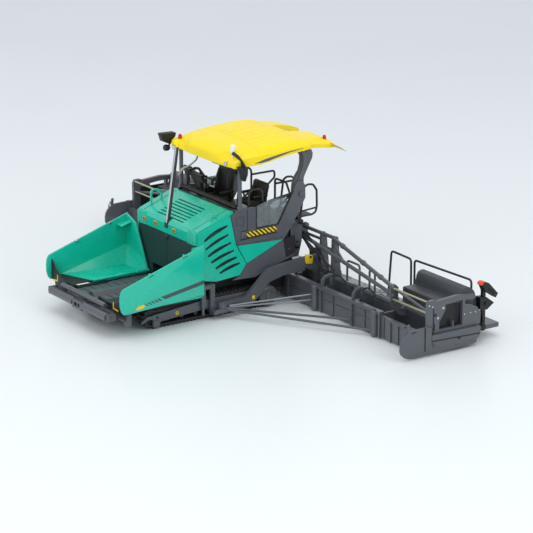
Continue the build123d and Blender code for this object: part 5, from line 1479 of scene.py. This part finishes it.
# %% control panels
stand = new_shape()
add_plate(stand, ((-79.4, 26.0), (-80.6, 27.4), (-82.6, 26.8), (-87.5, 21.2), (-86.4, 19.9),
                  (-83.4, 22.2), (-80.6, 23.2)), 118.0, 121.5, 0.3)
for k in range(3):
    x = -82.6 - 1.3 * k
    add_turned(stand, (x, 121.4, 24.4 - 1.2 * k), (x, 122.1, 24.4 - 1.2 * k),
               ((0, 0.45), (0.7, 0.45), (1, 0.25)), 14)
add_tube(stand, ((-80.6, 119.6, 20.0), (-79.4, 120.6, 16.0), (-80.4, 120.4, 9.0), (-78.6, 119.0, 7.4)),
         0.4, 2.5)
add_rod(stand, (-81.4, 121.0, 17.6), (-81.4, 121.7, 17.6), 0.9, 18)
mirror_shape(stand)
piece(stand, "control_panels", BLACK, "screed")

cap = new_shape()
add_plate(cap, ((-77.9, 26.6), (-78.6, 28.0), (-80.4, 28.0), (-80.8, 27.2), (-79.4, 25.9)),
          118.4, 121.2, 0.35)
piece(cap, "orange_grip", ORANGE, "screed")
report("control panels")

# %% [markdown]
# ## Stage
# The floor is a pale glossy sheet that fills the picture, with painted shade that greys it a little far
# away. It is one plane with a smooth material, so only a soft reflection and the shadow tie the model to
# it.

# %% floor


def floor_material():
    """A pale sheet with painted shade that greys it with distance, and a faint reflection."""
    material, tree = new_tree("pale_acrylic_sheet")
    place = add_node(tree, "SeparateXYZ", links={"Vector": add_node(tree, "TexCoord").outputs["Object"]})
    along = add_node(tree, "Math", {"operation": "ADD"}, {0: place.outputs["X"], 1: place.outputs["Y"]})
    # The far part of the floor is greyed: painted shade for the fall of the light.
    far = add_node(tree, "MapRange", {"From Min": -0.75, "From Max": 0.55, "To Min": 1.0, "To Max": 0.0},
                   {"Value": along.outputs[0]})
    mix = add_node(tree, "Mix", {"data_type": "RGBA", 6: linear("#F6FBFD"), 7: linear("#D9DEE2")},
                   {0: far.outputs["Result"]})
    shader = add_node(tree, "BsdfPrincipled", {"Specular IOR Level": 0.25},
                      {"Base Color": mix.outputs[2],
                       "Roughness": spread(tree, grain(tree, 60.0, 0.0), 0.3, 0.36)})
    finish_shader(tree, shader)
    return material


FLOOR_HALF = 4.0
bpy.ops.mesh.primitive_plane_add(size=2 * FLOOR_HALF, location=(0, 0, 0))
floor = bpy.context.object
floor.name = "floor"
floor.data.materials.append(floor_material())
print("floor:", 2 * FLOOR_HALF, "m across")

# %% [markdown]
# ## Light
# The room is pale all round, as a studio with white walls, and three soft boxes hang above, to the
# side and in front. Large lamps give wide faint shadows, which suits a small glossy model.

# %% room and soft boxes
world = bpy.data.worlds.new("pale_room")
bpy.context.scene.world = world
world.use_nodes = True
world.node_tree.nodes.clear()
sky = add_node(world.node_tree, "Background", {"Color": linear("#F4F7FA"), "Strength": 0.86})
world_out = add_node(world.node_tree, "OutputWorld")
world.node_tree.links.new(sky.outputs[0], world_out.inputs["Surface"])
LIGHT_AIM = Vector((0.0, 0.0, 0.03))


def soft_light(name, location, size, power):
    """A rectangular lamp that looks at the model."""
    data = bpy.data.lights.new(name, "AREA")
    data.shape = "RECTANGLE"
    data.size = size[0]
    data.size_y = size[1]
    data.energy = power
    lamp = bpy.data.objects.new(name, data)
    bpy.context.scene.collection.objects.link(lamp)
    lamp.location = location
    lamp.rotation_euler = (LIGHT_AIM - lamp.location).to_track_quat("-Z", "Y").to_euler()
    print(name, "at", location, "of", power, "W")


soft_light("overhead_softbox", (0.1, 0.1, 1.2), (1.0, 1.0), 3.2)
soft_light("side_softbox", (-0.3, 1.2, 0.8), (0.8, 0.6), 2.4)
soft_light("front_softbox", (1.2, 0.3, 0.8), (0.8, 0.6), 2.6)

# %% [markdown]
# ## Camera
# The view looks down on the near front corner through a long lens, so lines that run away hardly
# converge. Its place and lens were solved from the tracks, the canopy and the screed together.

# %% camera at the photograph's view
CAMERA_AT = Vector((0.62739, 0.97018, 0.36595))
CAMERA_TARGET = Vector((-0.0009, 0.0418, 0.025))
SENSOR_MM = 36.0
LENS_MM = 178.01
camera_data = bpy.data.cameras.new("camera")
camera_data.sensor_width = SENSOR_MM
camera_data.lens = LENS_MM
camera_data.clip_start = 0.05
camera = bpy.data.objects.new("camera", camera_data)
bpy.context.scene.collection.objects.link(camera)
camera.location = CAMERA_AT
camera.rotation_euler = (CAMERA_TARGET - CAMERA_AT).to_track_quat("-Z", "Y").to_euler()
bpy.context.scene.camera = camera
bpy.context.scene.view_settings.view_transform = "Standard"
print("camera:", LENS_MM, "mm lens,", round((CAMERA_TARGET - CAMERA_AT).length, 3), "m away")
